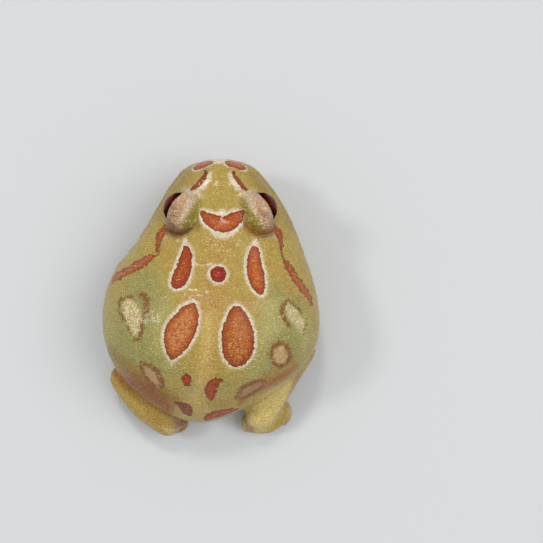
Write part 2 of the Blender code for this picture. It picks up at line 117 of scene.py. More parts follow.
def node_shape(name, swell=0.0):
    """A node's mesh in millimetres, its corners merged, swollen along its normals."""
    shape = bmesh.new()
    shape.from_mesh(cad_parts[name].data)
    bmesh.ops.remove_doubles(shape, verts=shape.verts, dist=MERGE)
    shape.normal_update()
    for vert in shape.verts:
        vert.co = vert.co / MM + vert.normal * swell
    return shape


def read_points(mesh):
    """A mesh's points as an array, with a row of x, y and z for each."""
    flat = np.empty(len(mesh.vertices) * 3, np.float32)
    mesh.vertices.foreach_get("co", flat)
    return flat.reshape(-1, 3).astype(float)


def write_points(mesh, points):
    """Puts an array of points back into its mesh."""
    mesh.vertices.foreach_set("co", points.astype(np.float32).ravel())
    mesh.update()


def smoothstep(low, high, value):
    """0 before low, 1 after high and an even bend between. low may be the larger."""
    t = np.clip((value - low) / (high - low), 0, 1)
    return t * t * (3 - 2 * t)


def bell(distance, width):
    """1 where the distance is nothing, and close to 0 from twice the width on."""
    return np.exp(-((distance / width) ** 2))


print("flesh:", ", ".join(FLESH))

# %% Swell, join and remesh
SWELL = 0.2
CELL = 0.205


def joined_flesh():
    """All the swollen flesh as one mesh, still made of overlapping closed bodies."""
    whole = bpy.data.meshes.new("clay")
    together = bmesh.new()
    for name in FLESH:
        part = node_shape(name, SWELL)
        part.to_mesh(whole)
        part.free()
        together.from_mesh(whole)
    together.to_mesh(whole)
    together.free()
    return whole


def remeshed(mesh):
    """The outside of a mesh, as a net of small squares of one size."""
    clay = bpy.data.objects.new("clay", mesh)
    bpy.context.scene.collection.objects.link(clay)
    net = clay.modifiers.new("net", "REMESH")
    net.mode = "VOXEL"
    net.voxel_size = CELL
    graph = bpy.context.evaluated_depsgraph_get()
    made = bpy.data.meshes.new_from_object(clay.evaluated_get(graph))
    bpy.data.objects.remove(clay)
    return made


def keep_outside(mesh):
    """Drops the small closed hollows that are left where several gaps meet."""
    shape = bmesh.new()
    shape.from_mesh(mesh)
    left = set(shape.verts)
    bodies = []
    while left:
        stack = [left.pop()]
        body = list(stack)
        while stack:
            for edge in stack.pop().link_edges:
                for vert in edge.verts:
                    if vert in left:
                        left.remove(vert)
                        stack.append(vert)
                        body.append(vert)
        bodies.append(body)
    bodies.sort(key=len)
    scraps = [vert for body in bodies[:-1] for vert in body]
    bmesh.ops.delete(shape, geom=scraps, context="VERTS")
    shape.to_mesh(mesh)
    shape.free()
    return len(bodies) - 1


skin_mesh = remeshed(joined_flesh())
dropped = keep_outside(skin_mesh)
points = read_points(skin_mesh)
print("skin net: %d points, %d hollows dropped" % (len(points), dropped))

# %% [markdown]
# ## Drawing the skin back and smoothing it
#
# The net still has the steps of its cells and the flats of the solids. Blender's Smooth
# modifier would even them out, but it also shrinks thin things such as toes. Here each
# point moves towards the mean of its neighbours and then a little further back out, which
# smooths without shrinking. Toes and lids are smoothed less than the broad back. Working on
# arrays of points keeps it fast and lets every later fold be a formula on the same arrays.

# %% Neighbours and normals
edge_ends = np.empty(len(skin_mesh.edges) * 2, np.int32)
skin_mesh.edges.foreach_get("vertices", edge_ends)
edge_from, edge_to = edge_ends.reshape(-1, 2).T
neighbour_count = np.bincount(edge_ends, minlength=len(points)).astype(float)
corners = np.empty(len(skin_mesh.polygons) * 4, np.int32)
skin_mesh.polygons.foreach_get("vertices", corners)
corners = corners.reshape(-1, 4)


def neighbour_mean(values):
    """For each point, the mean of the values at the points it shares an edge with."""
    columns = []
    for column in values.T:
        total = np.bincount(edge_from, column[edge_to], len(points))
        total += np.bincount(edge_to, column[edge_from], len(points))
        columns.append(total / neighbour_count)
    return np.stack(columns, axis=1)


def normals_of(values):
    """The way the skin faces at each point, from the squares that share it."""
    a, b, c, d = (values[corners[:, i]] for i in range(4))
    across = np.cross(c - a, d - b)
    columns = []
    for column in across.T:
        spread = sum(np.bincount(corners[:, i], column, len(values)) for i in range(4))
        columns.append(spread)
    summed = np.stack(columns, axis=1)
    return summed / np.linalg.norm(summed, axis=1)[:, None]


def smoothed(values, times, weight, inward=0.5, outward=-0.52):
    """Evens the net out where weight is high, without shrinking it."""
    for _ in range(times):
        for step in (inward, outward):
            values = values + weight[:, None] * step * (neighbour_mean(values) - values)
    return values


print("edges: %d, squares: %d" % (len(edge_from), len(corners)))

# %% Which solid each point lies on
REACH = 1.6
BOX_REACH = np.array([REACH] * 3)
FIRST_SMOOTHING = 3


def distances_to(name, values):
    """How far each point is from a node's surface, as far as it matters."""
    shape = node_shape(name)
    tree = BVHTree.FromBMesh(shape)
    ends = np.array([vert.co for vert in shape.verts])
    shape.free()
    found = np.full(len(values), REACH)
    low, high = ends.min(0) - BOX_REACH, ends.max(0) + BOX_REACH
    for i in np.flatnonzero(np.all((values > low) & (values < high), axis=1)):
        distance = tree.find_nearest(values[i], REACH)[3]
        if distance is not None:
            found[i] = distance
    return found


points = smoothed(points, FIRST_SMOOTHING, np.ones(len(points)))
points = points - SWELL * normals_of(points)
far_from = {name: distances_to(name, points) for name in FLESH}
nearest = np.argmin(np.stack([far_from[name] for name in FLESH]), axis=0)
on_node = {name: nearest == i for i, name in enumerate(FLESH)}
print({name: int(mask.sum()) for name, mask in on_node.items()})

# %% Smooth each part as much as it can take
EVENNESS = {"torso": 1.0, "head": 0.7, "lower_jaw": 0.8, "eyelids": 0.35, "hand": 0.3, "foot": 0.35}
LIMB_EVENNESS = 0.9
WEIGHT_BLENDS = 6
SMOOTHING = 26

weight = np.full(len(points), LIMB_EVENNESS)
for name, mask in on_node.items():
    for start, value in EVENNESS.items():
        if name.startswith(start):
            weight[mask] = value
for _ in range(WEIGHT_BLENDS):
    weight = 0.5 * weight + 0.5 * neighbour_mean(weight[:, None])[:, 0]
points = smoothed(points, SMOOTHING, weight)
points[:, 2] = np.maximum(points[:, 2], 0.0)
print("skin after smoothing: %.2f mm above the floor at its top" % points[:, 2].max())

# %% [markdown]
# ## Where the eyes sit
#
# The lids of a frog are thick where they swell over the eye and thin where they meet it. A
# shell of one thickness would look like a goggle. So the eyes are placed now, before their
# lids are shaped. The middle of each eyeball is found again from the corner points on the
# round front of its solid, which all lie at one distance from it. Then each point of the
# skin near the lids' edge is drawn towards the eyeball, the more the nearer it is to the
# edge. Behind and within, a lid has no border but flows into the head, so the head is
# raised to meet it there and the crease between them is smoothed away. The thighs flow into
# the flanks in the same way.

# %% The eyes' places
EYE_RADIUS = 2.0
GAZE_FORWARD = math.radians(32)
GAZE_UP = math.radians(8)
# The points this close to the flat back of an eye's solid don't count as its round front.
EYE_FLAT = 0.05


def gaze(side):
    """The way the eye looks, the way along the head across it, and the way up across it."""
    out = math.cos(GAZE_FORWARD) * (1 if side == "l" else -1)
    forward = -math.sin(GAZE_FORWARD) * math.cos(GAZE_UP)
    ahead = Vector((out * math.cos(GAZE_UP), forward, math.sin(GAZE_UP)))
    along = ahead.cross(Vector((0, 0, 1))).normalized()
    return [np.array(way) for way in (ahead, along, along.cross(ahead))]


def eye_middle(side):
    """The middle of the eyeball, from the corner points of its node that lie on the ball."""
    shape = node_shape("eye_" + side)
    ends = np.array([vert.co for vert in shape.verts])
    shape.free()
    depth = ends @ gaze(side)[0]
    ends = ends[depth > depth.min() + EYE_FLAT]
    system = np.column_stack([2 * ends, np.ones(len(ends))])
    return np.linalg.lstsq(system, (ends**2).sum(1), rcond=None)[0][:3]


eye_middles = {side: eye_middle(side) for side in "lr"}
print("eyes at", {side: np.round(place, 2).tolist() for side, place in eye_middles.items()})

# %% Lids that close round the eye
# How far the opening of the lids reaches from the way the eye looks: along, over and under.
LID_ALONG, LID_OVER, LID_UNDER = (math.radians(degrees) for degrees in (70, 53, 48))
# How much of its thickness a lid keeps at its edge, and over what angle it regains it.
LID_THIN = 0.3
LID_FREE = math.radians(26)
LID_NEAR, LID_FAR = 2.9, 3.7
# How the head rises to meet the back of each lid, and how wide the two flow into each other.
SLOPE_RISE = 0.35
SLOPE_WIDTH = 0.85
SLOPE_BLENDS = 5
LID_BACK = (0.1, 0.7)
FLOW_WIDTH = 0.75
FLOW_REACH = 1.2
FLOW_TIMES = 60
INNER_SIDE = (0.9, -0.4)
OFF_THE_EDGE = (0.3, 0.8)


def seen_from_eye(side):
    """Each point's way and distance from the eye, and its angle past the edge of the lids."""
    ahead, along, up = gaze(side)
    way = points - eye_middles[side]
    distance = np.linalg.norm(way, axis=1)
    way = way / distance[:, None]
    turn = np.arctan2(way @ up, way @ along)
    lid = np.where(way @ up > 0, LID_OVER, LID_UNDER)
    edge = np.cos(turn) ** 2 * LID_ALONG + np.sin(turn) ** 2 * lid
    return way, distance, np.arccos(np.clip(way @ ahead, -1, 1)) - edge


past_edge = np.full(len(points), math.pi)
slope = np.zeros(len(points))
for side in "lr":
    way, distance, past = seen_from_eye(side)
    thin = LID_THIN + (1 - LID_THIN) * smoothstep(0, LID_FREE, past)
    drawn_in = EYE_RADIUS + (distance - EYE_RADIUS) * thin
    near = smoothstep(LID_FAR, LID_NEAR, distance)
    points = points + way * (near * (drawn_in - distance))[:, None]
    past_edge = np.where(distance < LID_FAR, np.minimum(past_edge, past), past_edge)
    behind = smoothstep(*LID_BACK, -(way @ gaze(side)[0]))
    slope += SLOPE_RISE * behind * bell(far_from["eyelids_" + side], SLOPE_WIDTH)
slope[~(on_node["head"] | on_node["torso"])] = 0
for _ in range(SLOPE_BLENDS):
    slope = neighbour_mean(slope[:, None])[:, 0]
points = points + slope[:, None] * normals_of(points)


def beside_seam(first, second):
    """1 where two solids meet on the surface, fading to 0 beside that line."""
    a, b = far_from[first], far_from[second]
    return bell(a - b, FLOW_WIDTH) * (np.minimum(a, b) < FLOW_REACH)


flow = np.zeros(len(points))
for side in "lr":
    inner = smoothstep(*INNER_SIDE, (points - eye_middles[side]) @ gaze(side)[0])
    flow = np.maximum(flow, inner * beside_seam("eyelids_" + side, "head"))
    flow = np.maximum(flow, beside_seam("thigh_" + side, "torso"))
flow *= smoothstep(*OFF_THE_EDGE, past_edge)
points = smoothed(points, FLOW_TIMES, flow, outward=0.0)
print("points at the lids' edge:", int((past_edge < 0.1).sum()))

# %% [markdown]
# ## Folds, lips, nostrils and eardrums
#
# The net is too even where two parts of the body meet: the line of the mouth, the creases
# where shanks, feet and arms lie against the body, the bends of the limbs. Cutting grooves
# with Booleans would leave hard edges. The distances to the solids help instead. Where a
# point is as far from one solid as from its neighbour, it lies on the crease between them,
# so the difference of the two distances is a measure from that crease. Each fold is then a
# bell of that measure, pressed in along the normals. The folds of the shoulders, which no
# two solids share, follow lines read off the photograph.

# %% Creases between the solids
NO_SEAM = 9.0
SEAM_REACH = 0.9


def seam(first, second):
    """Distance from the line where two solids meet on the surface, above 0 on the first."""
    a, b = far_from[first], far_from[second]
    touching = np.minimum(a, b) < SEAM_REACH
    return np.where(touching & (np.maximum(a, b) < REACH), b - a, NO_SEAM)


def seams(pairs):
    """Distance from the nearest of the lines where pairs of solids meet."""
    return np.min([np.abs(seam(first, second)) for first, second in pairs], axis=0)


mouth = seam("head", "lower_jaw")
lids_edge = seams([("eyelids_" + side, "head") for side in "lr"])
leg_folds = seams([(name + side, "torso") for name in ("shank_", "foot_") for side in "lr"])
arm_folds = seams(
    [(name + side, "torso") for name in ("upper_arm_", "forearm_", "hand_") for side in "lr"]
)
JOINTED = (("shank_", "foot_"), ("forearm_", "hand_"), ("upper_arm_", "forearm_"), ("thigh_", "shank_"))
joint_folds = seams([(first + side, second + side) for first, second in JOINTED for side in "lr"])
print("points on the line of the mouth:", int((np.abs(mouth) < 0.15).sum()))

# %% Places on the skin
BACK_PIXEL = (218, 330)
FAR_AWAY = 40
CURVE_STEPS = 5

normals = normals_of(points)


def surface():
    """The skin as it is now, for lines of sight to meet."""
    return BVHTree.FromPolygons([Vector(p) for p in points], corners.tolist())


skin_tree = surface()


def on_skin(u, v):
    """The point of the skin seen at a pixel of the photograph, or just beside it."""
    start, way = sight_line(u, v)
    place = skin_tree.ray_cast(start, way)[0]
    if place is None:
        beside = start + way * ((start.z - SHARP_LEVEL / 2) / -way.z)
        place = skin_tree.find_nearest(beside)[0]
    return np.array(place)


def beside_skin(x_side, y, z):
    """The point of the skin met from the side, at a place along the body and a height."""
    start = Vector((x_side * FAR_AWAY, y, z))
    place = skin_tree.ray_cast(start, Vector((-x_side, 0, 0)))[0]
    return np.array(place)


def away(place):
    """Distance of each point of the skin from a place."""
    return np.linalg.norm(points - place, axis=1)


def through(rows):
    """A smooth curve through rows of values, in even steps from each to the next."""
    rows = np.array(rows, float)
    rows = np.vstack([2 * rows[0] - rows[1], rows, 2 * rows[-1] - rows[-2]])
    made = []
    for a, b, c, d in zip(rows, rows[1:], rows[2:], rows[3:]):
        for t in np.arange(CURVE_STEPS) / CURVE_STEPS:
            square = (a - 2.5 * b + 2 * c - d / 2) * t**2
            cube = (1.5 * (b - c) + (d - a) / 2) * t**3
            made.append(b + (c - a) * t / 2 + square + cube)
    made.append(rows[-2])
    return np.array(made)


def from_line(values, places, halves=None):
    """Distance of each value from a line of places, less the line's half width there."""
    places = np.array(places)
    halves = np.zeros(len(places)) if halves is None else np.array(halves)
    low, high = places.min(0) - NO_SEAM / 2, places.max(0) + NO_SEAM / 2
    near = np.flatnonzero(np.all((values > low) & (values < high), axis=1))
    best = np.full(len(values), NO_SEAM)
    for a, b, half_a, half_b in zip(places, places[1:], halves, halves[1:]):
        along = b - a
        t = np.clip((values[near] - a) @ along / max(along @ along, MERGE), 0, 1)
        gap = np.linalg.norm(values[near] - a - t[:, None] * along, axis=1)
        best[near] = np.minimum(best[near], gap - half_a - t * (half_b - half_a))
    return best


def drawn(pixels):
    """Distance from a smooth line on the skin, read off the photograph as (u, v) pixels."""
    return from_line(points, [on_skin(u, v) for u, v in through(pixels)])


print("the middle of the back lies at", np.round(on_skin(*BACK_PIXEL), 2), "mm")

# %% Nostrils and eardrums
NOSTRIL_PIXELS = ((205.4, 171.6), (234.8, 171.6))
NOSTRIL_HOLE = 0.3
NOSTRIL_DEPTH = 0.42
NOSTRIL_RING = 0.5
NOSTRIL_SWELL = 0.13
EARDRUM_Y = -7.9
EARDRUM_Z = 8.4
EARDRUM_RADIUS = 0.95
EARDRUM_RING = 0.25
EARDRUM_SWELL = 0.07
EARDRUM_GROOVE = 0.09
EARDRUM_DISH = 0.06
RING_WIDTH = 0.2
GROOVE_WIDTH = 0.16

nostrils = np.min([away(on_skin(u, v)) for u, v in NOSTRIL_PIXELS], axis=0)
ears = np.min([away(beside_skin(side, EARDRUM_Y, EARDRUM_Z)) for side in (-1, 1)], axis=0)

from_rim = ears - EARDRUM_RADIUS
shift = NOSTRIL_SWELL * bell(nostrils - NOSTRIL_RING, RING_WIDTH)
shift -= NOSTRIL_DEPTH * bell(nostrils, NOSTRIL_HOLE)
ring = EARDRUM_SWELL * bell(from_rim - EARDRUM_RING, RING_WIDTH)
shift += ring - EARDRUM_GROOVE * bell(from_rim, GROOVE_WIDTH)
shift -= EARDRUM_DISH * smoothstep(EARDRUM_RADIUS, EARDRUM_RADIUS * 0.6, ears)
points = points + shift[:, None] * normals
print("deepest point of a nostril: %.2f mm" % -shift.min())

# %% The line of the mouth and its lips
MOUTH_GROOVE = 0.3
MOUTH_WIDTH = 0.24
LIP_ROLL = 0.09
UPPER_LIP, LOWER_LIP = 0.75, 0.8
LIP_WIDTH = 0.34
FACING_OUT = (-0.2, 0.35)

normals = normals_of(points)
outside = smoothstep(*FACING_OUT, np.hypot(normals[:, 0], normals[:, 1]))
shift = LIP_ROLL * (bell(mouth - UPPER_LIP, LIP_WIDTH) + bell(mouth + LOWER_LIP, LIP_WIDTH))
shift -= MOUTH_GROOVE * bell(mouth, MOUTH_WIDTH)
points = points + (outside * shift)[:, None] * normals
print("mouth pressed in by up to %.2f mm" % MOUTH_GROOVE)

# %% Creases of the lids, the limbs and the shoulders
LEFT_SHOULDER_FOLD = ((164, 229), (160, 238), (158.6, 247), (157.4, 254), (150, 257.5))
RIGHT_SHOULDER_FOLD = ((276.5, 231), (280.2, 241), (281.6, 250), (284, 259), (288, 266))
SKIN_WRINKLES = {
    "left shoulder": ((157, 263), (166, 263.4), (175, 261)),
    "behind it": ((160, 267.5), (168, 268.4), (174, 267)),
    "before it": ((161, 258.6), (168, 259), (175, 256.6)),
    "beside left nape": ((196, 262), (204, 264), (211, 262)),
    "nape": ((198, 252), (214, 255), (232, 253)),
    "right shoulder": ((266, 262), (272, 264), (278, 263)),
}
shoulder_folds = np.minimum(drawn(LEFT_SHOULDER_FOLD), drawn(RIGHT_SHOULDER_FOLD))
skin_wrinkles = np.min([drawn(line) for line in SKIN_WRINKLES.values()], axis=0)
# Each kind of fold: the distance from it, its depth and its width.
folds = (
    (lids_edge, 0.03, 0.25),
    (leg_folds, 0.24, 0.35),
    (arm_folds, 0.2, 0.35),
    (joint_folds, 0.1, 0.3),
    (shoulder_folds, 0.16, 0.26),
    (skin_wrinkles, 0.035, 0.2),
)
shift = -sum(depth * bell(gap, width) for gap, depth, width in folds)
normals = normals_of(points)
points = points + shift[:, None] * normals
print("creases pressed in by up to %.2f mm" % -shift.min())

# %% [markdown]
# ## Wrinkles and granules
#
# The lids and the skin behind the jaw are drawn into fine wrinkles, and the back is set
# with small soft grains. A displacement texture would need its own map of where it acts.
# Noise that is read at the points does the same in a line or two: stretched across the lid
# for wrinkles, round for grains. Only what is larger than a square of the net is modelled
# here, and the finer grain is left to the bump of the skin's material.

# %% Wrinkles on the lids and grains on the back
LID_WRINKLE = 0.05
LID_STRETCH = np.array([2.6, 1.1, 1.6])
GRAIN, GRAIN_SCALE = 0.022, 1.9
FINE_GRAIN, FINE_SCALE = 0.022, 3.4
SWELLING, SWELLING_SCALE = 0.1, 0.16
LID_BLENDS = 4
# Each kind of relief reads the noise from its own place, so that none repeats another.
WRINKLE_START, GRAIN_START, FINE_START, SWELLING_START = 3.1, 7.7, 5.3, 1.3


def noise_at(places, scale, start):
    """Soft noise between about -1 and 1 at each place, with features 1 / scale apart."""
    return np.array([noise.noise(Vector(p * scale) + Vector([start] * 3)) for p in places])


on_lids = np.zeros(len(points))
for side in "lr":
    on_lids[on_node["eyelids_" + side]] = 1.0
for _ in range(LID_BLENDS):
    on_lids = neighbour_mean(on_lids[:, None])[:, 0]
normals = normals_of(points)
wrinkles = 1 - np.abs(noise_at(points * LID_STRETCH, 1.0, WRINKLE_START)) * 2
shift = LID_WRINKLE * on_lids * wrinkles
shift += GRAIN * noise_at(points, GRAIN_SCALE, GRAIN_START) * (1 - on_lids)
shift += FINE_GRAIN * noise_at(points, FINE_SCALE, FINE_START)
shift += SWELLING * noise_at(points, SWELLING_SCALE, SWELLING_START) * (1 - on_lids)
points = points + shift[:, None] * normals
points[:, 2] = np.maximum(points[:, 2], 0.0)
print("wrinkles and grains between %.3f and %.3f mm" % (shift.min(), shift.max()))

# %% [markdown]
# ## Laying out the marks
#
# The frog's back carries orange patches with a dark rim and a cream border: a crescent
# between the eyes, two long pairs, dots and commas. An image would be stuck to one view. A
# painted map would be numbers with no meaning. Here each mark is a brush stroke of a few
# points read off the photograph, each with its half width, laid on the skin along lines of
# sight. The distance from the edge of the stroke is kept on every point of the skin, so the
# material can draw rim, fill and border as crisp as it likes at any size.

# %% Brush strokes on the skin
# Each point of a stroke is (u, v, half width) in pixels of the photograph.
THINNEST = 0.2

skin_tree = surface()


def stroke(pixels):
    """Distance from the edge of a brush stroke of (u, v, half width) pixels. Inside is < 0."""
    rows = through(pixels)
    places = [on_skin(u, v) for u, v, _ in rows]
    return from_line(points, places, np.maximum(rows[:, 2], THINNEST) * PIXEL)


def strokes(many):
    """Distance from the edge of the nearest of many strokes."""
    return np.min([stroke(pixels) for pixels in many], axis=0)


CROWN = [(200.6, 210.8, 0.6), (203.6, 214.6, 3.2), (209.6, 219.2, 6.2), (217, 223, 7.5),
         (223.2, 225, 7.3), (230.4, 222, 7.9), (237, 217.6, 6.2), (242, 213, 2.8), (244.8, 210.2, 0.6)]
LEFT_SNOUT = [(198.8, 166, 6.4), (203.6, 163.6, 9.6)]
RIGHT_SNOUT = [(234.2, 163.4, 9.4), (239.6, 165.8, 6.8)]
LEFT_CANTHUS = [(205.5, 171, 1), (205, 176, 2.1), (199.5, 182.5, 2.7), (192.5, 188.8, 2.4)]
RIGHT_CANTHUS = [(232.6, 171, 0.8), (234.6, 176, 1.7), (240, 183, 2.3), (246.5, 190, 1.9)]
LEFT_NAPE = [(185.8, 248.4, 2.9), (186.2, 254, 5.2), (184.9, 263, 7.1), (182.4, 271.5, 8.1),
             (179.7, 278.5, 8.2), (177.2, 282.8, 6.3)]
RIGHT_NAPE = [(254.6, 248.6, 2.8), (254.5, 253.4, 5.3), (254.1, 262.5, 7.3), (255.4, 272, 8.6),
              (257.6, 282, 7.8), (259.8, 289.5, 4.8), (261, 293, 2.2)]
BACK_DOT = [(218.2, 274.2, 8), (218.2, 275.2, 7)]
LEFT_BACK = [(192.8, 306.5, 3.6), (188.8, 314, 9.2), (184, 324, 13), (179, 333, 14.2),
             (175.6, 343, 11.6), (173.2, 352, 6.2), (172.2, 357.5, 2.5)]
RIGHT_BACK = [(236.6, 309, 3.5), (237, 316, 8.5), (237.5, 326, 13), (238, 337, 15.6),
              (238, 349, 15), (237.6, 356.5, 10.8), (237, 361, 6.3)]
RUMP_DOT = [(186.6, 377.6, 4.6), (186.6, 381.6, 4.4), (186.4, 384.4, 2.6)]
RUMP_COMMA = [(220, 380.6, 2.6), (214.6, 382.4, 5.4), (210.8, 389, 5.8), (210.8, 395.6, 4.4),
              (211.6, 400, 1.9)]
RUMP_STRIPE = [(206, 419, 3), (213, 415.5, 6.5), (224, 412.5, 7), (233, 410.5, 4), (239, 408.8, 1)]
HEEL_PATCH = [(174.5, 402.5, 1.6), (181, 404.6, 4.6), (185.6, 408.6, 6.4), (188.4, 414, 4)]
LEFT_NECK_STRIPE = [(165, 227, 3.2), (162.6, 231.5, 4.8), (159.8, 237.5, 4.4), (157.8, 245, 2.2),
                    (157.2, 252, 1)]
LEFT_SHOULDER_STRIPE = [(151.5, 257, 3), (146.5, 260, 5.6), (137, 265.5, 6), (127, 271.5, 5.4),
                        (120, 274.5, 6), (114.5, 278, 6)]
RIGHT_NECK_STRIPE = [(274.4, 227.5, 2.6), (277.4, 232, 4.4), (280.6, 240, 3.4), (281.4, 247, 1.6),
                     (281, 253, 0.9)]
RIGHT_SHOULDER_STRIPE = [(285.8, 262.5, 3), (291.3, 271.5, 5), (297.3, 280.5, 5.2), (304, 289.5, 5),
                         (309, 297, 4.4), (311.4, 303.5, 2.6)]
SHOULDER_STRIPES = [LEFT_NECK_STRIPE, LEFT_SHOULDER_STRIPE, RIGHT_NECK_STRIPE, RIGHT_SHOULDER_STRIPE]
CREAM_BETWEEN = {
    "tip of the nose": [(218.6, 160.2, 9.4), (218.6, 160.8, 9)],
    "within left canthus": [(210.6, 173.5, 1.2), (207.6, 180, 2.2), (201.8, 187.5, 2.4)],
    "within right canthus": [(229.4, 173.5, 1.1), (232.6, 180, 2.1), (238.6, 188, 2.4)],
    "before left nape": [(184.8, 240.5, 1.6), (185.4, 247, 4)],
    "before right nape": [(255.2, 240.5, 1.6), (254.9, 247, 4)],
    "behind left back": [(171.9, 360, 1.6), (171.4, 365, 0.6)],
    "notch of the crown": [(222.6, 212.6, 3.6), (222.6, 211.4, 2.4)],
    "behind the crown": [
        (207.5, 224, 2), (214, 232, 2.4), (223, 236, 2.6), (233, 232, 2.4), (240.5, 223, 2)
    ],
}
print("strokes laid out, the longest over %d points" % max(len(LEFT_BACK), len(CROWN)))

# %% Marks and their borders
# Each mark: its strokes, the width of its cream border in pixels or None, how frayed its edge
# is, its colour and the colour at its heart.
MARKS = {
    "crown": ([CROWN], 2.6, 1, (0.48, 0.092, 0.010), (0.56, 0.155, 0.025)),
    "left snout": ([LEFT_SNOUT], 1.2, 1, (0.48, 0.090, 0.008), (0.54, 0.135, 0.018)),
    "right snout": ([RIGHT_SNOUT], 1.2, 1, (0.48, 0.090, 0.008), (0.54, 0.135, 0.018)),
    "left nape": ([LEFT_NAPE], 2.1, 1, (0.40, 0.052, 0.000), (0.48, 0.095, 0.001)),
    "right nape": ([RIGHT_NAPE], 2.3, 1, (0.48, 0.086, 0.002), (0.60, 0.170, 0.008)),
    "dot": ([BACK_DOT], 1.9, 1, (0.33, 0.010, 0.000), (0.42, 0.026, 0.000)),
    "left back": ([LEFT_BACK], 2.3, 1, (0.48, 0.122, 0.014), (0.62, 0.250, 0.068)),
    "right back": ([RIGHT_BACK], 2.3, 1, (0.41, 0.084, 0.004), (0.53, 0.175, 0.026)),
    "canthus": ([LEFT_CANTHUS, RIGHT_CANTHUS], None, 1, (0.42, 0.095, 0.008), (0.46, 0.115, 0.012)),
    "shoulders": (SHOULDER_STRIPES, None, 2.4, (0.45, 0.130, 0.030), (0.55, 0.215, 0.080)),
    "rump": ([RUMP_DOT, RUMP_COMMA, RUMP_STRIPE], None, 1.6, (0.41, 0.065, 0.006), (0.49, 0.110, 0.018)),
    "heel": ([HEEL_PATCH], None, 1.8, (0.26, 0.056, 0.008), (0.32, 0.085, 0.018)),
}
groups, borders, *looks = zip(*MARKS.values())
all_marks = np.stack([strokes(group) for group in groups])
mark_mm = all_marks.min(axis=0)
mark_here = all_marks.argmin(axis=0)
bordered = [distance - width * PIXEL for distance, width in zip(all_marks, borders) if width]
cream_mm = np.minimum(np.min(bordered, axis=0), strokes(CREAM_BETWEEN.values()))
frayed, ink, heart = (np.array(look)[mark_here] for look in looks)
print("%d marks, over %d points of the skin" % (len(MARKS), (mark_mm < 0).sum()))

# %% Faint patches on the flanks
FAINT_RIMS = {
    "left triangle, inner side": [
        (139.5, 296, 2), (145, 295.5, 3), (146.5, 303, 3.4), (146, 312, 3), (143, 321, 2.4),
        (142, 330, 2.6), (139, 338, 2.4), (134.5, 338.5, 1.6),
    ],
    "left triangle, front": [(119.5, 306, 1.8), (119.5, 300.5, 2), (126, 298.5, 1.5), (132, 297, 1.8)],
    "left triangle, outer side": [(118.6, 310, 1.3), (121, 315.5, 1.2), (125.5, 320.5, 1.2)],
    "left triangle, rear": [(127, 326, 1.1), (130.5, 333, 1.2)],
    "right leaf, inner side": [
        (288, 301, 1.8), (283.5, 306.5, 2.4), (282.8, 314, 2.5), (285.6, 321, 2.4), (289, 326, 1.8)
    ],
    "right leaf, outer side": [(288, 301, 1.6), (294, 304, 1.8), (299, 310, 1.8), (303, 317, 1.5)],
    "right leaf, rear": [(306, 325, 1.3), (303.4, 333.5, 1.8)],
    "right ring": [
        (270.6, 353, 2.4), (274, 346.5, 2.8), (281, 343.6, 2.6), (288, 348.6, 2.5), (290, 357, 2.4),
        (284, 365, 2.4), (275, 364.5, 2), (270.6, 353, 2.4),
    ],
    "left low, front": [
        (142, 363.5, 2.6), (150, 366, 2.4), (157, 371.5, 2.8), (161.5, 381, 3), (162, 388, 2.2)
    ],
    "left low, rear": [(141, 367, 2.4), (146, 377, 2.4), (154, 386.5, 2.2)],
    "right low, front": [
        (237, 397, 2.6), (242, 388.5, 3), (250, 384, 3.2), (260, 381, 2.8), (265, 382, 1.6)
    ],
    "right low, rear": [(238, 399, 2.4), (247, 396.5, 2.6), (256, 391, 2.6), (262, 386, 2)],
}
# Each fill inside the faint rims: its colour and its stroke.
TAN_FILLS = {
    "left triangle": (
        (0.78, 0.600, 0.345), [(127, 304.5, 6), (131, 313, 9), (135, 322, 9), (138, 331, 6.4)]
    ),
    "right leaf": (
        (0.72, 0.570, 0.320), [(288.5, 307, 5), (293.5, 314, 7), (299, 321, 6.6), (303.5, 329, 4)]
    ),
    "right ring": ((0.64, 0.390, 0.190), [(280, 354.6, 9.6), (280.6, 355.8, 9.6)]),
    "left low": ((0.50, 0.290, 0.160), [(145, 369, 6.4), (155, 379, 7), (158, 384, 5)]),
    "right low": ((0.46, 0.250, 0.125), [(241, 394, 5.4), (250, 390, 6.4), (259, 385.5, 5)]),
}
faint_mm = strokes(FAINT_RIMS.values())
all_tan = np.stack([stroke(pixels) for _, pixels in TAN_FILLS.values()])
tan_mm = all_tan.min(axis=0)
tan = np.array([colour for colour, _ in TAN_FILLS.values()])[all_tan.argmin(axis=0)]
print("points under the faint rims: %d" % int((faint_mm < 0).sum()))

# %% [markdown]
# ## The ground colour of each region
#
# Under the marks the frog is yellow-olive on the head, ochre down the middle of the back and
# soft green on the flanks, with yellow legs and a cream belly. Its folds are orange-brown
# deepened by painted shade. The lids go from pink outside through white grains to green
# within, with painted shade lying dark brown behind them. A few washes are painted light:
# a sheen down the spine and rump, the lit right shank and a highlight on the left shoulder.
# These colours flow into each other over millimetres. A node for each would make a long
# tangle, and one gradient could not follow so many regions. So they are laid on the points
# as washes, one over another, each with a soft edge. A wash follows a stroke as the camera
# sees it, and leaves out the skin that something else hides. The material then only adds
# what is finer.

# %% Washes that the camera sees
# How far off the skin a line of sight starts, so that it doesn't meet the skin it leaves,
# and how far the skin may turn away from the camera and still count as seen.
OFF_SKIN = 0.05
VIEW_EDGE = 0.15
MASK_SOFTENING = 6

normals = normals_of(points)
height = points[:, 2]


def softened(mask):
    """A mask of 0 and 1 with its border spread over a few points of the net."""
    for _ in range(MASK_SOFTENING):
        mask = neighbour_mean(mask[:, None])[:, 0]
    return mask


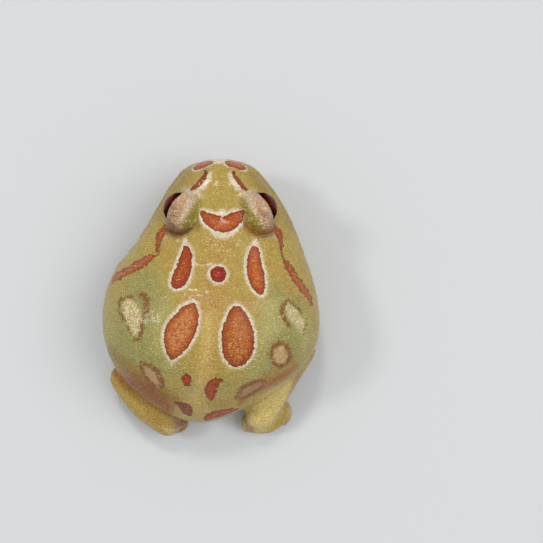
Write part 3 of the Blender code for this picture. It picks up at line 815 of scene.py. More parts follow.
def seen_from_above(values):
    """Where the camera sees each point, in millimetres across the photograph and down it."""
    nearer = (CAMERA_PLACE.z - SHARP_LEVEL) / (CAMERA_PLACE.z - values[:, 2])
    across = (CAMERA_PLACE.x - values[:, 0]) * nearer
    down = (values[:, 1] - CAMERA_PLACE.y) * nearer
    return np.column_stack([across, down]) + PHOTO_PIXELS / 2 * PIXEL


def open_to_camera():
    """1 where the camera sees the skin, and 0 where it turns away or something lies over it."""
    tree = surface()
    shown = np.zeros(len(points))
    for i, start in enumerate(points + OFF_SKIN * normals):
        if normals[i, 2] > -VIEW_EDGE:
            place = Vector(start)
            shown[i] = tree.ray_cast(place, (CAMERA_PLACE - place).normalized())[0] is None
    return softened(shown) * smoothstep(-VIEW_EDGE, VIEW_EDGE, normals[:, 2])


seen = seen_from_above(points)
shown = open_to_camera()
print("the camera sees %d of %d points" % (int((shown > 0.5).sum()), len(points)))

# %% Paint
OLIVE = (0.500, 0.365, 0.085)
CHEEK = (0.390, 0.260, 0.042)
OCHRE = (0.515, 0.328, 0.080)
SALMON = (0.580, 0.330, 0.150)
GREEN = (0.360, 0.335, 0.115)
BRIGHT_GREEN = (0.475, 0.430, 0.155)
FLANK = (0.375, 0.290, 0.080)
YELLOW = (0.520, 0.360, 0.078)
GOLD = (0.690, 0.500, 0.180)
PALE_YELLOW = (0.780, 0.620, 0.240)
BROWN = (0.320, 0.085, 0.000)
RUSSET = (0.410, 0.125, 0.000)
TAWNY = (0.290, 0.150, 0.010)
HEEL = (0.350, 0.165, 0.100)
AMBER = (0.400, 0.235, 0.040)
SHADE = (0.220, 0.115, 0.022)
RUST = (0.320, 0.090, 0.020)
CREAM = (0.640, 0.520, 0.350)
PINK = (0.570, 0.355, 0.210)
ROSE = (0.720, 0.450, 0.290)
LID_WHITE = (0.730, 0.610, 0.440)
LID_GREEN = (0.330, 0.265, 0.014)
LID_DARK = (0.130, 0.038, 0.000)
UMBER = (0.265, 0.108, 0.000)
SIENNA = (0.160, 0.055, 0.020)
LID_RIM = (0.420, 0.330, 0.270)
MAUVE = (0.400, 0.250, 0.200)


class Paint:
    """The skin's colour at each point, laid on in washes over a first colour."""

    def __init__(self, colour):
        self.colours = np.tile(np.array(colour), (len(points), 1))
        self.washes = 0

    def wash(self, colour, strength):
        """Lays a colour over the skin, as thick as the strength at each point."""
        strength = np.clip(strength, 0, 1)[:, None]
        self.colours = self.colours * (1 - strength) + np.array(colour) * strength
        self.washes += 1

    def washes_over(self, where, table):
        """Lays a table of strokes: each has a colour, a thickness, its pixels and its soft edge."""
        for colour, thickness, pixels, edge in table.values():
            self.wash(colour, thickness * where * soft(pixels, edge))


def soft(pixels, edge):
    """How much a point is seen under a stroke whose edge fades over this many pixels."""
    rows = through(pixels) * PIXEL
    gap = from_line(seen, rows[:, :2], rows[:, 2])
    return smoothstep(edge * PIXEL, -edge * PIXEL, gap) * shown


def on(*starts):
    """1 on the nodes whose names start so, smoothed over their borders."""
    mask = np.zeros(len(points))
    for name in FLESH:
        if name.startswith(starts):
            mask[on_node[name]] = 1.0
    return softened(mask)


paint = Paint(OLIVE)
print("a first coat of olive on %d points" % len(paint.colours))

# %% Washes on the trunk and the legs
# Each wash: its colour, how thick it lies, its stroke and how many pixels its edge fades over.
BACK_WASHES = {
    "left cheek": (CHEEK, 0.9, [(154, 214, 8), (164, 194, 8), (180, 178, 9), (190, 170, 5)], 7),
    "right cheek": (CHEEK, 0.9, [(292, 220, 8), (278, 196, 8), (262, 180, 9), (250, 171, 5)], 7),
    "left flank": (GREEN, 0.95, [(146, 272, 6), (142, 298, 24), (134, 340, 26), (156, 368, 14)], 14),
    "right flank": (GREEN, 0.95, [(278, 290, 8), (286, 318, 22), (284, 350, 22), (256, 374, 12)], 14),
    "right shoulder": (BRIGHT_GREEN, 0.9, [(262, 294, 4), (270, 306, 9), (276, 326, 8)], 10),
    "right loin": (BRIGHT_GREEN, 0.7, [(262, 330, 5), (264, 350, 6), (254, 374, 4)], 9),
    "right edge": (BRIGHT_GREEN, 0.9, [(300, 318, 5), (306, 336, 5), (302, 352, 3)], 8),
    "left loin": (BRIGHT_GREEN, 0.9, [(166, 304, 4), (160, 324, 5), (160, 346, 6), (168, 362, 4)], 9),
    "left edge": (BRIGHT_GREEN, 0.6, [(112, 300, 4), (108, 320, 5), (112, 336, 4)], 9),
    "spine": (
        OCHRE, 0.95, [(220, 242, 15), (217, 270, 18), (212, 298, 18), (208, 330, 13), (206, 372, 10)], 14
    ),
    "left shoulder": (OCHRE, 0.7, [(174, 248, 8), (172, 264, 6)], 9),
    "right shoulder blade": (OCHRE, 0.6, [(262, 250, 6), (272, 262, 4), (292, 290, 4)], 9),
    "left waist": (SALMON, 0.7, [(184, 301, 2), (198, 296, 3), (212, 299, 3)], 6),
    "right waist": (SALMON, 0.5, [(226, 303, 3), (248, 304, 4), (260, 300, 3)], 7),
    "rump": (GREEN, 0.55, [(176, 372, 8), (205, 392, 9), (228, 384, 8)], 13),
    # The gold down the spine and rump is partly a paler tone of the back and partly a painted sheen.
    "spine's light": (GOLD, 0.85, [(209, 314, 4), (207, 336, 6), (206, 354, 4)], 8),
    "rump's light": (GOLD, 0.7, [(205, 362, 6), (204, 374, 6), (196, 398, 6), (206, 408, 4)], 9),
}
LEG_WASHES = {
    # The right shank's pale yellow is brightened further as painted light on its lit top.
    "right shank": (PALE_YELLOW, 0.95, [(290, 384, 3), (272, 404, 12), (260, 420, 13)], 4),
    "left shank's foot": (AMBER, 0.65, [(146, 413, 2.4), (156, 421, 4), (166, 427, 2)], 4),
}
FLANK_TOP, FLANK_FOOT = 8.0, 5.0
BELLY_FROM, BELLY_TO = 0.1, -0.55
trunk = on("torso", "head", "lower_jaw")
legs = on("shank", "thigh", "foot", "forearm", "upper_arm", "hand")
belly = smoothstep(BELLY_FROM, BELLY_TO, normals[:, 2])
paint.washes_over(1.0, BACK_WASHES)
paint.wash(FLANK, 0.7 * trunk * smoothstep(FLANK_TOP, FLANK_FOOT, height))
paint.wash(YELLOW, 0.9 * legs)
paint.washes_over(1.0, LEG_WASHES)
paint.wash(CREAM, belly)
print("ground colour laid in %d washes" % paint.washes)

# %% Washes in the folds and on the feet
FOLD_WASHES = {
    # The washes beside and over the thighs are painted shade over the folds' own orange-brown.
    "beside left thigh": (
        TAWNY, 0.85, [(111, 352, 3), (125, 366, 5), (140, 379, 7), (157, 391, 7), (174, 399, 5)], 7
    ),
    "left thigh": (
        BROWN, 0.95, [(112, 368, 1.5), (123, 378, 5), (137, 387, 7.5), (151, 395, 8), (168, 408, 6)], 6
    ),
    "beside right thigh": (AMBER, 0.85, [(240, 396, 1), (262, 380, 3), (276, 372, 3.4), (292, 362, 3)], 5),
    "right thigh": (
        RUSSET, 0.95, [(240, 402, 2.6), (250, 392, 3.8), (268, 384, 3.6), (285, 375, 3.2), (297, 366, 2)], 4
    ),
    # Painted shade low on the rump.
    "low on the rump": (AMBER, 0.6, [(204, 406, 1.6), (216, 404, 3), (230, 402, 2)], 5),
    "under the rump": (PINK, 0.7, [(192, 420, 2), (206, 424, 3), (218, 422, 2)], 4),
    # This cream is a painted highlight on the left shoulder.
    "left shoulder": (CREAM, 0.7, [(139, 236, 1.5), (133, 243, 1.5)], 4),
    "behind right lid": (CREAM, 0.8, [(273.6, 236.4, 0.6), (276.6, 239, 1)], 1.6),
    "behind left lid": (CREAM, 0.6, [(165.6, 238, 0.5), (163.6, 242, 0.8)], 1.8),
}
FOOT_WASHES = {
    "left heel": (HEEL, 0.85, [(172, 412, 4), (180, 418, 6.5), (180, 427, 5)], 4),
    "left heel's bloom": (MAUVE, 0.7, [(171, 414, 2), (175, 423, 3.4)], 3),
    "first fold": (LID_WHITE, 0.7, [(162, 427, 0.4), (172, 430.4, 0.8), (185, 426, 0.4)], 1.2),
    "second fold": (LID_WHITE, 0.7, [(164, 431, 0.4), (174, 434, 0.8), (186, 430.4, 0.4)], 1.2),
    "right knee": (MAUVE, 0.9, [(246.5, 428.5, 2.6), (252, 430.5, 3)], 3),
    "right toes": (CREAM, 0.7, [(290, 408, 1.5), (291, 420, 2)], 2),
    "right knee's edge": (
        CREAM, 0.7, [(243.5, 410, 0.5), (243, 420, 0.8), (246, 431, 1), (258, 436, 1)], 1.6
    ),
    "right thigh's edge": (MAUVE, 0.7, [(300.5, 371, 1.4), (296, 382, 1.8), (291, 394, 1.6)], 2.4),
}
LOW_ON_LEG, FOOT_OF_LEG = 3.2, 1.4
JAW_FOOT, JAW_TOP = 4, 7
sideways = np.hypot(normals[:, 0], normals[:, 1])
left_side = smoothstep(-0.3, 0.3, points[:, 0])
# The low parts of the limbs, where painted shade falls on the frog's left side.
low_legs = legs * smoothstep(LOW_ON_LEG, FOOT_OF_LEG, height)
lip_line = bell(mouth, 0.16) * smoothstep(-0.3, 0.2, sideways)
lower_lip = bell(mouth + 0.62, 0.3) * smoothstep(JAW_FOOT, JAW_TOP, height)
paint.washes_over(1.0, FOLD_WASHES)
# Painted shade in the creases where the shanks and feet lie against the body.
paint.wash(BROWN, 0.5 * bell(leg_folds, 0.3))
# Painted shade on the low parts of the limbs on the frog's left side.
paint.wash(SHADE, 0.7 * low_legs * left_side)
# Painted shade in the creases of the shoulders.
paint.wash(SIENNA, 0.85 * bell(shoulder_folds, 0.14))
paint.wash(RUST, 0.5 * lip_line)
paint.wash(CREAM, 0.45 * lower_lip)
paint.washes_over(legs, FOOT_WASHES)
print("now %d washes" % paint.washes)

# %% Washes on the lids
LID_FRONT_WASHES = {
    "left front": (LID_WHITE, 0.9, [(184, 191.5, 2.4), (195, 191, 2.6), (200.5, 195, 2.2)], 3.4),
    "right front": (LID_WHITE, 0.85, [(254, 191.5, 1.6), (246, 192, 2.4), (242, 195, 1.8)], 3.4),
}
LID_TOP_WASHES = {
    "left top": (LID_WHITE, 0.85, [(193, 196, 3.4), (189, 206, 3), (184, 216, 2.2), (181, 221, 1)], 4),
    "right top": (LID_WHITE, 0.85, [(248, 197, 3.4), (252, 207, 3), (257, 216, 2.2), (260, 221, 1)], 4),
    "left dome": (ROSE, 0.6, [(184, 196, 3), (177, 200, 2.4)], 3.4),
    "right dome": (ROSE, 0.7, [(258, 200, 3), (266, 207, 3.6), (270, 214, 3)], 4),
}
LID_INNER_WASHES = {
    "left inner": (
        LID_GREEN, 0.95, [(199.6, 203, 2.8), (197, 211, 5), (193, 219, 7), (189, 226, 7)], 3.4
    ),
    "right inner": (
        LID_GREEN, 0.95, [(242.4, 200, 2.4), (245.5, 210, 4.6), (250.5, 219, 7), (255, 226, 7)], 3.4
    ),
    # Painted shade in the hollows where the lids meet the forehead.
    "left hollow": (UMBER, 0.7, [(198.4, 216, 1), (199.4, 222, 2.4), (198, 228, 2)], 3),
    "right hollow": (UMBER, 0.6, [(243.6, 216, 1), (243, 222, 2.2), (245, 227, 2)], 3),
}
# Painted shade on the outer flanks of the lids.
LID_OUTER_WASHES = {
    "left outer": (SIENNA, 0.8, [(167, 218, 1.6), (168.6, 223, 3), (173, 226, 3)], 4.4),
    "right outer": (SIENNA, 0.6, [(274, 219, 1.2), (273.6, 225, 2.6)], 3.4),
    "right corner": (MAUVE, 0.5, [(266, 229, 2.4), (270, 229, 2.6)], 4),
    "left rim": (SIENNA, 0.5, [(171, 204, 1.4), (172.4, 209, 1.6)], 3),
}
# Painted shade in the crease behind each lid.
LID_BACK_WASHES = {
    "left back": (
        LID_DARK, 0.97,
        [(164, 228, 1.6), (169, 231, 3.4), (178, 233.6, 4.4), (188, 232, 4.8), (198, 226, 3)], 4.4,
    ),
    "right back": (
        UMBER, 0.97,
        [(246, 226, 2.6), (254, 232, 4.4), (264, 233.4, 3.8), (272, 231, 2.8), (276, 227, 1.2)], 4.4,
    ),
}
# The tips of the horns, as pixels of the photograph.
LEFT_HORN = (174.4, 207)
RIGHT_HORN = (260.2, 201.7)
RIM_FROM, RIM_TO = 0.16, 0.02

lids = on("eyelids")
lid_rims = lids * smoothstep(RIM_FROM, RIM_TO, past_edge)
lid_backs = smoothstep(0.0, 0.6, lids)
# lids_dark marks where that painted shade lies behind the lids.
lids_dark = np.max([soft(pixels, edge) for _, _, pixels, edge in LID_BACK_WASHES.values()], axis=0)
paint.wash(PINK, 0.95 * lids)
paint.washes_over(1.0, LID_FRONT_WASHES)
paint.washes_over(lids, LID_TOP_WASHES)
paint.washes_over(1.0, LID_INNER_WASHES)
paint.washes_over(lids, LID_OUTER_WASHES)
paint.washes_over(lid_backs, LID_BACK_WASHES)
paint.wash(BROWN, 0.4 * bell(away(on_skin(*LEFT_HORN)), 0.34))
paint.wash(RUST, 0.25 * bell(away(on_skin(*RIGHT_HORN)), 0.45))
paint.wash(LID_RIM, 0.9 * lid_rims)
ground = paint.colours
print("%d washes, from %.2f to %.2f" % (paint.washes, ground.min(), ground.max()))

# %% Where the pale specks lie
# Each patch: how thick the specks lie, its stroke and its soft edge.
SPECKLED = {
    "nape": (1.1, [(206, 236, 5), (216, 246, 9), (228, 247, 9), (236, 240, 5)], 8),
    "forehead": (0.5, [(218, 182, 5), (222, 200, 8)], 8),
    "spine": (0.45, [(220, 262, 8), (226, 290, 8), (216, 300, 8)], 12),
    "right flank": (0.4, [(276, 300, 8), (262, 340, 8), (250, 372, 8)], 14),
    "left flank": (0.3, [(160, 300, 8), (152, 345, 8), (196, 376, 8)], 14),
    "right shank": (0.35, [(270, 412, 6), (256, 424, 5)], 8),
}
SPECKS_ELSEWHERE = 0.12
SPECKS_OFF_LIDS = 0.6
FLECKS_OFF_DARK = 0.85
CREAM_OFF_LIDS = 0.4
# The film of water is thinner on the sides, where it runs off.
WET_SIDE = 0.4
FACING_UP = (0.1, 0.7)

speck = np.full(len(points), SPECKS_ELSEWHERE)
for thickness, pixels, edge in SPECKLED.values():
    speck = np.maximum(speck, thickness * soft(pixels, edge))
speck = speck * (1 - SPECKS_OFF_LIDS * lids)
# The lids' pale flecks are kept out of the painted shade behind them.
fleck = lids * (1 - FLECKS_OFF_DARK * lids_dark)
cream_mm = cream_mm + CREAM_OFF_LIDS * smoothstep(0.1, 0.7, lids)
wet = WET_SIDE + (1 - WET_SIDE) * smoothstep(*FACING_UP, normals[:, 2])
print("skin thick with specks: %d points" % int((speck > 0.4).sum()))

# %% The skin as an object
write_points(skin_mesh, points)
skin_mesh.name = "skin"
skin = bpy.data.objects.new("skin", skin_mesh)
bpy.context.scene.collection.objects.link(skin)
skin_mesh.materials.clear()


def keep(mesh, measures):
    """Stores numbers for each point of a mesh under their names, for the material to read."""
    for name, values in measures.items():
        attribute = mesh.attributes.new(name, "FLOAT", "POINT")
        attribute.data.foreach_set("value", values.astype(np.float32))


def keep_colours(mesh, colours):
    """Stores colours for each point of a mesh under their names."""
    for name, values in colours.items():
        attribute = mesh.attributes.new(name, "FLOAT_COLOR", "POINT")
        rgba = np.column_stack([values, np.ones(len(values))])
        attribute.data.foreach_set("color", rgba.astype(np.float32).ravel())


MEASURES = {
    "mark_mm": mark_mm, "frayed": frayed, "fleck": fleck, "cream_mm": cream_mm,
    "faint_mm": faint_mm, "tan_mm": tan_mm, "speck": speck, "wet": wet,
    "mouth_mm": np.abs(mouth), "nostril_mm": nostrils,
}
keep_colours(skin_mesh, {"ground": ground, "ink": ink, "heart": heart, "tan": tan})
keep(skin_mesh, MEASURES)
skin_mesh.transform(Matrix.Scale(MM, 4))
skin_mesh.shade_smooth()
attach(skin, "root")
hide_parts(*FLESH)
print("skin of %d triangles" % (2 * len(corners)))

# %% [markdown]
# ## Writing materials as sums
#
# A material is a net of small sums. Placing each node by hand hides what it works out. One
# small class wraps a socket, and lets a mask be written as (1 - rim) * fill. Each operator
# adds its own Math node. Colours go through Mix nodes, because a Math node would turn them
# grey.

# %% Sums of sockets
class Value:
    """A socket that can be added to, multiplied and so on, by adding Math nodes."""

    def __init__(self, socket):
        self.socket = socket

    def math(self, operation, other=0.0, swapped=False):
        tree = self.socket.node.id_data
        pair = (other, self) if swapped else (self, other)
        return node(tree, "ShaderNodeMath", {"operation": operation}, dict(enumerate(pair)))

    def __add__(self, other):
        return self.math("ADD", other)

    def __sub__(self, other):
        return self.math("SUBTRACT", other)

    def __mul__(self, other):
        return self.math("MULTIPLY", other)

    def __rsub__(self, other):
        return self.math("SUBTRACT", other, swapped=True)

    __radd__ = __add__
    __rmul__ = __mul__

    def ramp(self, start, end):
        """0 before start, 1 after end and smooth between. start may be the larger."""
        tree = self.socket.node.id_data
        low, high = min(start, end), max(start, end)
        to = {3: 0.0, 4: 1.0} if start < end else {3: 1.0, 4: 0.0}
        inputs = {0: self, 1: low, 2: high, **to}
        return node(tree, "ShaderNodeMapRange", {"interpolation_type": "SMOOTHSTEP"}, inputs)


def feed(socket, value):
    """Links a socket to a value of the tree, or sets it to a number or a colour."""
    if isinstance(value, Value):
        socket.id_data.links.new(value.socket, socket)
    elif isinstance(value, tuple) and len(value) == 3 and socket.type == "RGBA":
        socket.default_value = (*value, 1.0)
    else:
        socket.default_value = value


def node(tree, kind, settings=None, inputs=None, output=0):
    """Adds a node: its settings first, then its inputs by name or number."""
    made = tree.nodes.new(kind)
    for name, value in (settings or {}).items():
        setattr(made, name, value)
    for key, value in (inputs or {}).items():
        feed(made.inputs[key], value)
    return Value(made.outputs[output])


def mixed(tree, factor, first, second, blend="MIX"):
    """One colour over another, by a Mix node."""
    settings = {"data_type": "RGBA", "blend_type": blend, "clamp_factor": True}
    return node(tree, "ShaderNodeMix", settings, {0: factor, 6: first, 7: second}, output=2)


def new_material(name):
    """An empty material and its tree of nodes."""
    material = bpy.data.materials.new(name)
    material.use_nodes = True
    tree = material.node_tree
    tree.nodes.clear()
    return material, tree


def finish_material(tree, inputs):
    """Adds the shader with these inputs, and the output."""
    shader = node(tree, "ShaderNodeBsdfPrincipled", {}, inputs)
    feed(tree.nodes.new("ShaderNodeOutputMaterial").inputs["Surface"], shader)


print("materials are written as sums from here on")

# %% [markdown]
# ## The skin's material
#
# The real skin is wet and thin, set with grains a quarter of a millimetre across, some of
# them pale or golden. The grain could be modelled, but that would take millions of faces.
# Cells of a Voronoi pattern give it: their middles rise in the bump, painted shade darkens
# the furrows between them, painted light brightens the tops of some, and a few cells are
# tinted. The marks are drawn from the distances kept on the points. A coat over the colour
# is the film of water, uneven as a film is and thinner on the sides, and light that scatters
# a little way under the surface makes it flesh.

# %% Grain and tints
skin_material, tree = new_material("wet frog skin")
GRAIN_PER_M = 3800
FINE_PER_M = 9000
SPECKS_PER_M = 4400
BLOTCHES_PER_M = 420
SHEENS_PER_M = 150

place = node(tree, "ShaderNodeTexCoord", output=3)


def noise_node(scale, detail=2.0, roughness=0.5):
    """Soft noise from 0 to 1, with this many features in a metre."""
    inputs = {"Vector": place, "Scale": scale, "Detail": detail, "Roughness": roughness}
    return node(tree, "ShaderNodeTexNoise", {}, inputs)


def cells(scale):
    """Cells of about one size: the distance from a cell's middle, and its number from 0 to 1."""
    made = [
        node(tree, "ShaderNodeTexVoronoi", {"feature": "F1"}, {"Vector": place, "Scale": scale}, output)
        for output in (0, 1)
    ]
    return made[0], node(tree, "ShaderNodeSeparateColor", {}, {0: made[1]})


def kept(name, output=2):
    """What was kept on the points under a name: output 2 for a number, 0 for a colour."""
    return node(tree, "ShaderNodeAttribute", {"attribute_name": name}, {}, output)


cell, cell_pick = cells(GRAIN_PER_M)
speck_cell, speck_pick = cells(SPECKS_PER_M)
fine = noise_node(FINE_PER_M)
blotch = noise_node(BLOTCHES_PER_M, 3.0)
wide = noise_node(SHEENS_PER_M, 2.0)
grain_top = cell.ramp(0.62, 0.1)
print("grains about %.2f mm across" % (1000 / GRAIN_PER_M))

# %% Edges of the marks
# Where each part of a mark fades in, in millimetres from the edge of its stroke.
INKED = (0.05, -0.05)
RIM = (-0.34, -0.08)
HEART = (-0.35, -1.0)
BORDER = (0.3, -0.2)
FAINT = (0.2, -0.2)
TAN = (0.35, -0.35)
FAINT_FRAYED = 1.8
FAINT_GAPS = (0.25, 0.45)
INK_RAGS_PER_M, CREAM_RAGS_PER_M, GAPS_PER_M = 2600, 3100, 2400

ragged = (noise_node(INK_RAGS_PER_M) - 0.5) * 0.5 + (fine - 0.5) * 0.2
mark_edge = kept("mark_mm") + ragged * kept("frayed")
cream_ragged = (noise_node(CREAM_RAGS_PER_M) - 0.5) * 0.6
cream_edge = kept("cream_mm") + cream_ragged + (fine - 0.5) * 0.3
faint_edge = kept("faint_mm") + ragged * FAINT_FRAYED
tan_edge = kept("tan_mm") + ragged * FAINT_FRAYED
inked_part = mark_edge.ramp(*INKED)
rim_part = mark_edge.ramp(*RIM)
heart_part = mark_edge.ramp(*HEART)
cream_part = cream_edge.ramp(*BORDER)
faint_part = faint_edge.ramp(*FAINT) * noise_node(GAPS_PER_M, 1.0).ramp(*FAINT_GAPS)
tan_part = tan_edge.ramp(*TAN)
print("marks with a ragged edge, their rims %.2f mm inside it" % -RIM[1])

# %% Tints and masks of the grain
CREAM_RING = (0.76, 0.650, 0.500)
PALE_GRAIN = (0.86, 0.730, 0.420)
RIM_INK = (0.190, 0.032, 0.004)
BRIGHT_INK = (0.80, 0.390, 0.170)
FAINT_RIM = (0.22, 0.078, 0.014)
LID_FLECK = (0.86, 0.770, 0.620)
# LID_FURROW, FURROW and INK_FURROW darken furrows as painted shade; LIT_GRAIN brightens grain tops as
# painted light.
LID_FURROW = (0.62, 0.560, 0.420)
DULL = (0.80, 0.76, 0.60)
FURROW = (0.62, 0.52, 0.36)
LIT_GRAIN = (1.28, 1.26, 1.25)
INK_FURROW = (0.56, 0.32, 0.22)
# MOUTH_DARK and NOSTRIL_DARK are painted shade in the mouth's groove and the nostrils.
MOUTH_DARK = (0.16, 0.070, 0.030)
NOSTRIL_DARK = (0.10, 0.040, 0.018)
DULL_PER_M, MOTTLES_PER_M, CRUMBS_PER_M, WRINKLES_PER_M = 1300, 3000, 3600, 3300

# Painted shade in the furrows between the grains, and painted light on the tops of some grains.
furrow = cell.ramp(0.35, 0.75)
lit = cell_pick.ramp(0.3, 1.0) * grain_top
bright_grain = cell_pick.ramp(0.5, 0.85) * grain_top
dull_part = noise_node(DULL_PER_M, 3.0).ramp(0.55, 0.38)
mottled = noise_node(MOTTLES_PER_M, 1.0).ramp(0.3, 0.62)
grainy = noise_node(CRUMBS_PER_M, 1.0).ramp(0.2, 0.6)
wrinkled = noise_node(WRINKLES_PER_M, 2.0, 0.6)
# Painted shade in the furrows of the lids' fine wrinkles, and pale flecks on their ridges.
lid_furrow = kept("fleck") * wrinkled.ramp(0.48, 0.34)
lid_fleck = kept("fleck") * wrinkled.ramp(0.56, 0.68)
golden = (speck_pick + kept("speck") * 0.45).ramp(0.98, 1.08) * speck_cell.ramp(0.42, 0.2)
# Where painted shade lies in the groove of the mouth and in the nostrils.
mouth_dark = kept("mouth_mm").ramp(0.2, 0.03)
nostril_dark = kept("nostril_mm").ramp(0.32, 0.14)
print("masks of the grain made from %d nodes" % len(tree.nodes))

# %% [markdown]
# ## Layers of colour
#
# The colour is built as a painter would build it. First the ground, darkened by painted shade
# in the furrows and brightened by painted light on the grains, by multiplying. Then the tan
# fills, the faint rims, the cream borders, the flecks of the lids and the pale specks, each laid
# over what is below it. The ink of the marks is mixed apart, with its own grain, the painted
# shade of its furrows and its dark rim, and laid over them, so no speck runs into it. Only the
# painted shade in the mouth's groove and the nostrils lies over the ink. A colour ramp over one
# mask would be shorter, but it could not keep these layers apart.

# %% Lay the colours over one another
ground_colour = mixed(tree, (blotch - 0.35) * 0.45, kept("ground", 0), DULL, "MULTIPLY")
ground_colour = mixed(tree, furrow * 0.62, ground_colour, FURROW, "MULTIPLY")
ground_colour = mixed(tree, lit, ground_colour, LIT_GRAIN, "MULTIPLY")
ground_colour = mixed(tree, dull_part * 0.4, ground_colour, DULL, "MULTIPLY")
skin_colour = mixed(tree, tan_part * (mottled * 0.7 + 0.2), ground_colour, kept("tan", 0))
skin_colour = mixed(tree, faint_part * 0.92, skin_colour, FAINT_RIM)
skin_colour = mixed(tree, cream_part * (grainy * 0.35 + 0.6), skin_colour, CREAM_RING)
skin_colour = mixed(tree, lid_furrow * 0.45, skin_colour, LID_FURROW, "MULTIPLY")
skin_colour = mixed(tree, lid_fleck * 0.5, skin_colour, LID_FLECK)
skin_colour = mixed(tree, golden * 0.8, skin_colour, PALE_GRAIN)
ink_colour = mixed(tree, heart_part * 0.9, kept("ink", 0), kept("heart", 0))
# Painted shade in the furrows of the grains within the marks.
ink_colour = mixed(tree, furrow * 0.85, ink_colour, INK_FURROW, "MULTIPLY")
ink_colour = mixed(tree, bright_grain * (heart_part * 0.7 + 0.15), ink_colour, BRIGHT_INK)
ink_colour = mixed(tree, rim_part * 0.85, ink_colour, RIM_INK)
skin_colour = mixed(tree, inked_part, skin_colour, ink_colour)
# Painted shade in the groove of the mouth and in the nostrils.
skin_colour = mixed(tree, mouth_dark * 0.7, skin_colour, MOUTH_DARK)
skin_colour = mixed(tree, nostril_dark * 0.85, skin_colour, NOSTRIL_DARK)
print("colours mixed over %d nodes" % len(tree.nodes))

# %% Relief and gloss
BUMP_HEIGHT = 0.00016
SCATTER_DISTANCE = 0.0004

relief = grain_top * 0.6 + fine * 0.4
bump = node(tree, "ShaderNodeBump", {}, {"Strength": 1.0, "Distance": BUMP_HEIGHT, "Height": relief})
finish_material(
    tree,
    {
        "Base Color": skin_colour,
        "Roughness": 0.17 + blotch * 0.16,
        "IOR": 1.40,
        "Specular IOR Level": 0.34,
        "Subsurface Weight": 0.12,
        "Subsurface Radius": (1.0, 0.45, 0.22),
        "Subsurface Scale": SCATTER_DISTANCE,
        "Coat Weight": kept("wet") * (wide * 0.5 + 0.15),
        "Coat Roughness": 0.11,
        "Coat IOR": 1.33,
        "Normal": bump,
    },
)
skin_mesh.materials.append(skin_material)
print("skin material: %d nodes" % len(tree.nodes))

# %% [markdown]
# ## The eyes
#
# From above only a dark crescent of each eye shows between the lids, from the side the
# whole round eye. A plain ball would look like a bead. A real frog's eye has a clear bulge
# over a coloured ring round an oval pupil. Two shells with glass in front would need light
# to be bent through them. One ball with a slight bulge, its ring and pupil painted by
# their distance from the line of gaze, and a hard wet coat, reads as an eye from any side.

# %% Eyeballs
EYE_RINGS = 40
EYE_SPOKES = 64
BULGE = 0.05
# No two points of the ball meet when they are set out along this slanting line.
SLANT = Vector((0.31, 0.57, 0.76))
# The back of the ball is flat, this far behind its middle, where nothing shows it.
EYE_BACK = 0.27
PUPIL_STRETCH = 1.45
# Added to the distances on the back, so that no second iris is painted there.
BEHIND = 9.0


def make_eye(side):
    """One eyeball in its place, with its distances from the line of gaze kept on it."""
    ahead, along, up = gaze(side)
    shape = bmesh.new()
    bmesh.ops.create_uvsphere(shape, u_segments=EYE_SPOKES, v_segments=EYE_RINGS, radius=1.0)
    # Blender gives the ball's points in no fixed order. Sorted, they are the same on each run.
    shape.verts.sort(key=lambda vert: vert.co.dot(SLANT))
    shape.faces.sort(key=lambda face: face.calc_center_median().dot(SLANT))
    mesh = bpy.data.meshes.new("eyeball_" + side)
    shape.to_mesh(mesh)
    shape.free()
    local = read_points(mesh)
    out = np.hypot(local[:, 0], local[:, 1])
    bulge = BULGE * smoothstep(0.95, 0.55, np.arctan2(out, local[:, 2]))
    local *= (EYE_RADIUS + bulge)[:, None]
    across, rise, depth = local.T
    behind = np.where(depth < 0, BEHIND, 0.0)
    local = np.column_stack([across, rise, np.maximum(depth, -EYE_BACK)])
    write_points(mesh, (local @ np.array([along, up, ahead]) + eye_middles[side]) * MM)
    measures = {
        "iris_mm": np.hypot(across, rise) + behind,
        "pupil_mm": np.hypot(across / PUPIL_STRETCH, rise) + behind,
        "spoke": np.arctan2(rise, across),
    }
    keep(mesh, measures)
    eye = bpy.data.objects.new("eyeball_" + side, mesh)
    bpy.context.scene.collection.objects.link(eye)
    mesh.shade_smooth()
    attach(eye, "root")
    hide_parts("eye_" + side)
    return eye


eyes = [make_eye(side) for side in "lr"]
print("eyeballs of %d triangles each" % (2 * EYE_SPOKES * (EYE_RINGS - 1)))

# %% The eye's material
EYE_RED = (0.052, 0.004, 0.001)
EYE_FIBRE = (0.14, 0.015, 0.003)
EYE_RIM = (0.020, 0.002, 0.001)
PUPIL = (0.010, 0.002, 0.002)
# Where each part of the eye fades in, in millimetres from the middle of the pupil.
PUPIL_EDGE = (0.58, 0.5)
PUPIL_RING = (0.72, 0.56)
IRIS_EDGE = (1.15, 1.65)
WET_EDGE = (1.4, 1.05)

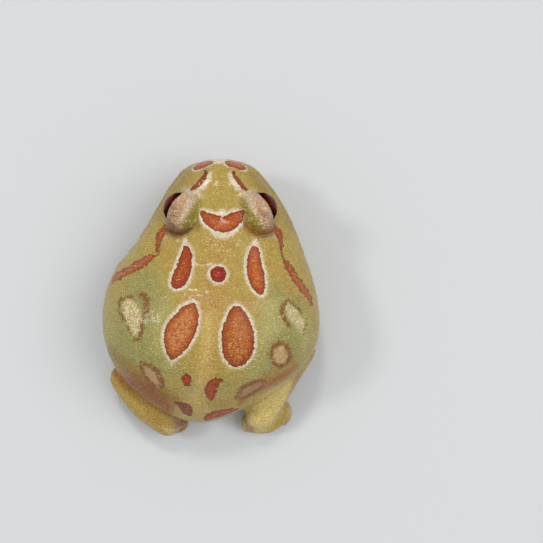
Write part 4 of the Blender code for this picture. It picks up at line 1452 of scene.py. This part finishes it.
eye_material, tree = new_material("dark red eye")
place = node(tree, "ShaderNodeTexCoord", output=3)
iris_mm, pupil_mm, spoke = kept("iris_mm"), kept("pupil_mm"), kept("spoke")
spread = node(tree, "ShaderNodeCombineXYZ", {}, {0: spoke * 5.0, 1: pupil_mm * 1.1})
fibre_inputs = {"Vector": spread, "Scale": 2.4, "Detail": 4.0}
fibres = node(tree, "ShaderNodeTexNoise", {"noise_dimensions": "2D"}, fibre_inputs)
iris = mixed(tree, fibres.ramp(0.42, 0.66), EYE_RED, EYE_FIBRE)
iris = mixed(tree, pupil_mm.ramp(*PUPIL_RING) * 0.5, iris, EYE_FIBRE)
iris = mixed(tree, iris_mm.ramp(*IRIS_EDGE), iris, EYE_RIM)
eye_colour = mixed(tree, pupil_mm.ramp(*PUPIL_EDGE), iris, PUPIL)
finish_material(
    tree,
    {
        "Base Color": eye_colour,
        "Roughness": 0.5,
        "Specular IOR Level": 0.0,
        "Coat Weight": iris_mm.ramp(*WET_EDGE) * 0.8,
        "Coat Roughness": 0.02,
        "Coat IOR": 1.33,
    },
)
for eye in eyes:
    eye.data.materials.append(eye_material)
print("eye material: %d nodes" % len(tree.nodes))

# %% [markdown]
# ## The stage
#
# A pale floor and soft light show the form without taking sides. Area lamps near the frog
# would leave the floor dark behind it in a view from the side. Soft suns light near and far
# alike: a wide ceiling, a window before the nose, whose shine lies on the front of the lids,
# and a small lamp to the frog's left, whose shine lies on that flank. A pale sky keeps the
# shadows open.

# %% Floor, sky and lamps
FLOOR_SIZE = 8.0
FLOOR_COLOUR = (0.60, 0.61, 0.62)
SKY_COLOUR = (0.94, 0.97, 1.0)
SKY_STRENGTH = 0.57
# Each soft sun: the way to it, how many degrees wide it looks, its strength and its colour.
SUNS = {
    "ceiling": ((-0.70, -0.10, 1.0), 40, 1.05, (1.0, 0.99, 0.95)),
    "window": ((0.10, -0.60, 0.80), 10, 0.70, (1.0, 0.99, 0.96)),
    "lamp": ((0.64, -0.16, 0.70), 12, 0.70, (1.0, 1.0, 0.98)),
}

floor_mesh = bpy.data.meshes.new("floor")
shape = bmesh.new()
bmesh.ops.create_grid(shape, x_segments=1, y_segments=1, size=FLOOR_SIZE / 2)
shape.to_mesh(floor_mesh)
shape.free()
floor = bpy.data.objects.new("floor", floor_mesh)
bpy.context.scene.collection.objects.link(floor)
floor_material, tree = new_material("pale floor")
finish_material(tree, {"Base Color": FLOOR_COLOUR, "Roughness": 0.6})
floor_mesh.materials.append(floor_material)

world = bpy.data.worlds.new("sky")
world.use_nodes = True
world.node_tree.nodes["Background"].inputs["Color"].default_value = (*SKY_COLOUR, 1.0)
world.node_tree.nodes["Background"].inputs["Strength"].default_value = SKY_STRENGTH
bpy.context.scene.world = world


def soft_sun(name, towards, degrees, strength, colour):
    """Adds an even light from far off."""
    light = bpy.data.lights.new(name, "SUN")
    light.angle = math.radians(degrees)
    light.energy = strength
    light.color = colour
    made = bpy.data.objects.new(name, light)
    bpy.context.scene.collection.objects.link(made)
    made.rotation_euler = Vector(towards).to_track_quat("Z", "Y").to_euler()


for name, settings in SUNS.items():
    soft_sun(name, *settings)
bpy.context.scene.view_settings.view_transform = "Standard"
print("three soft lights, a pale sky and a pale floor")
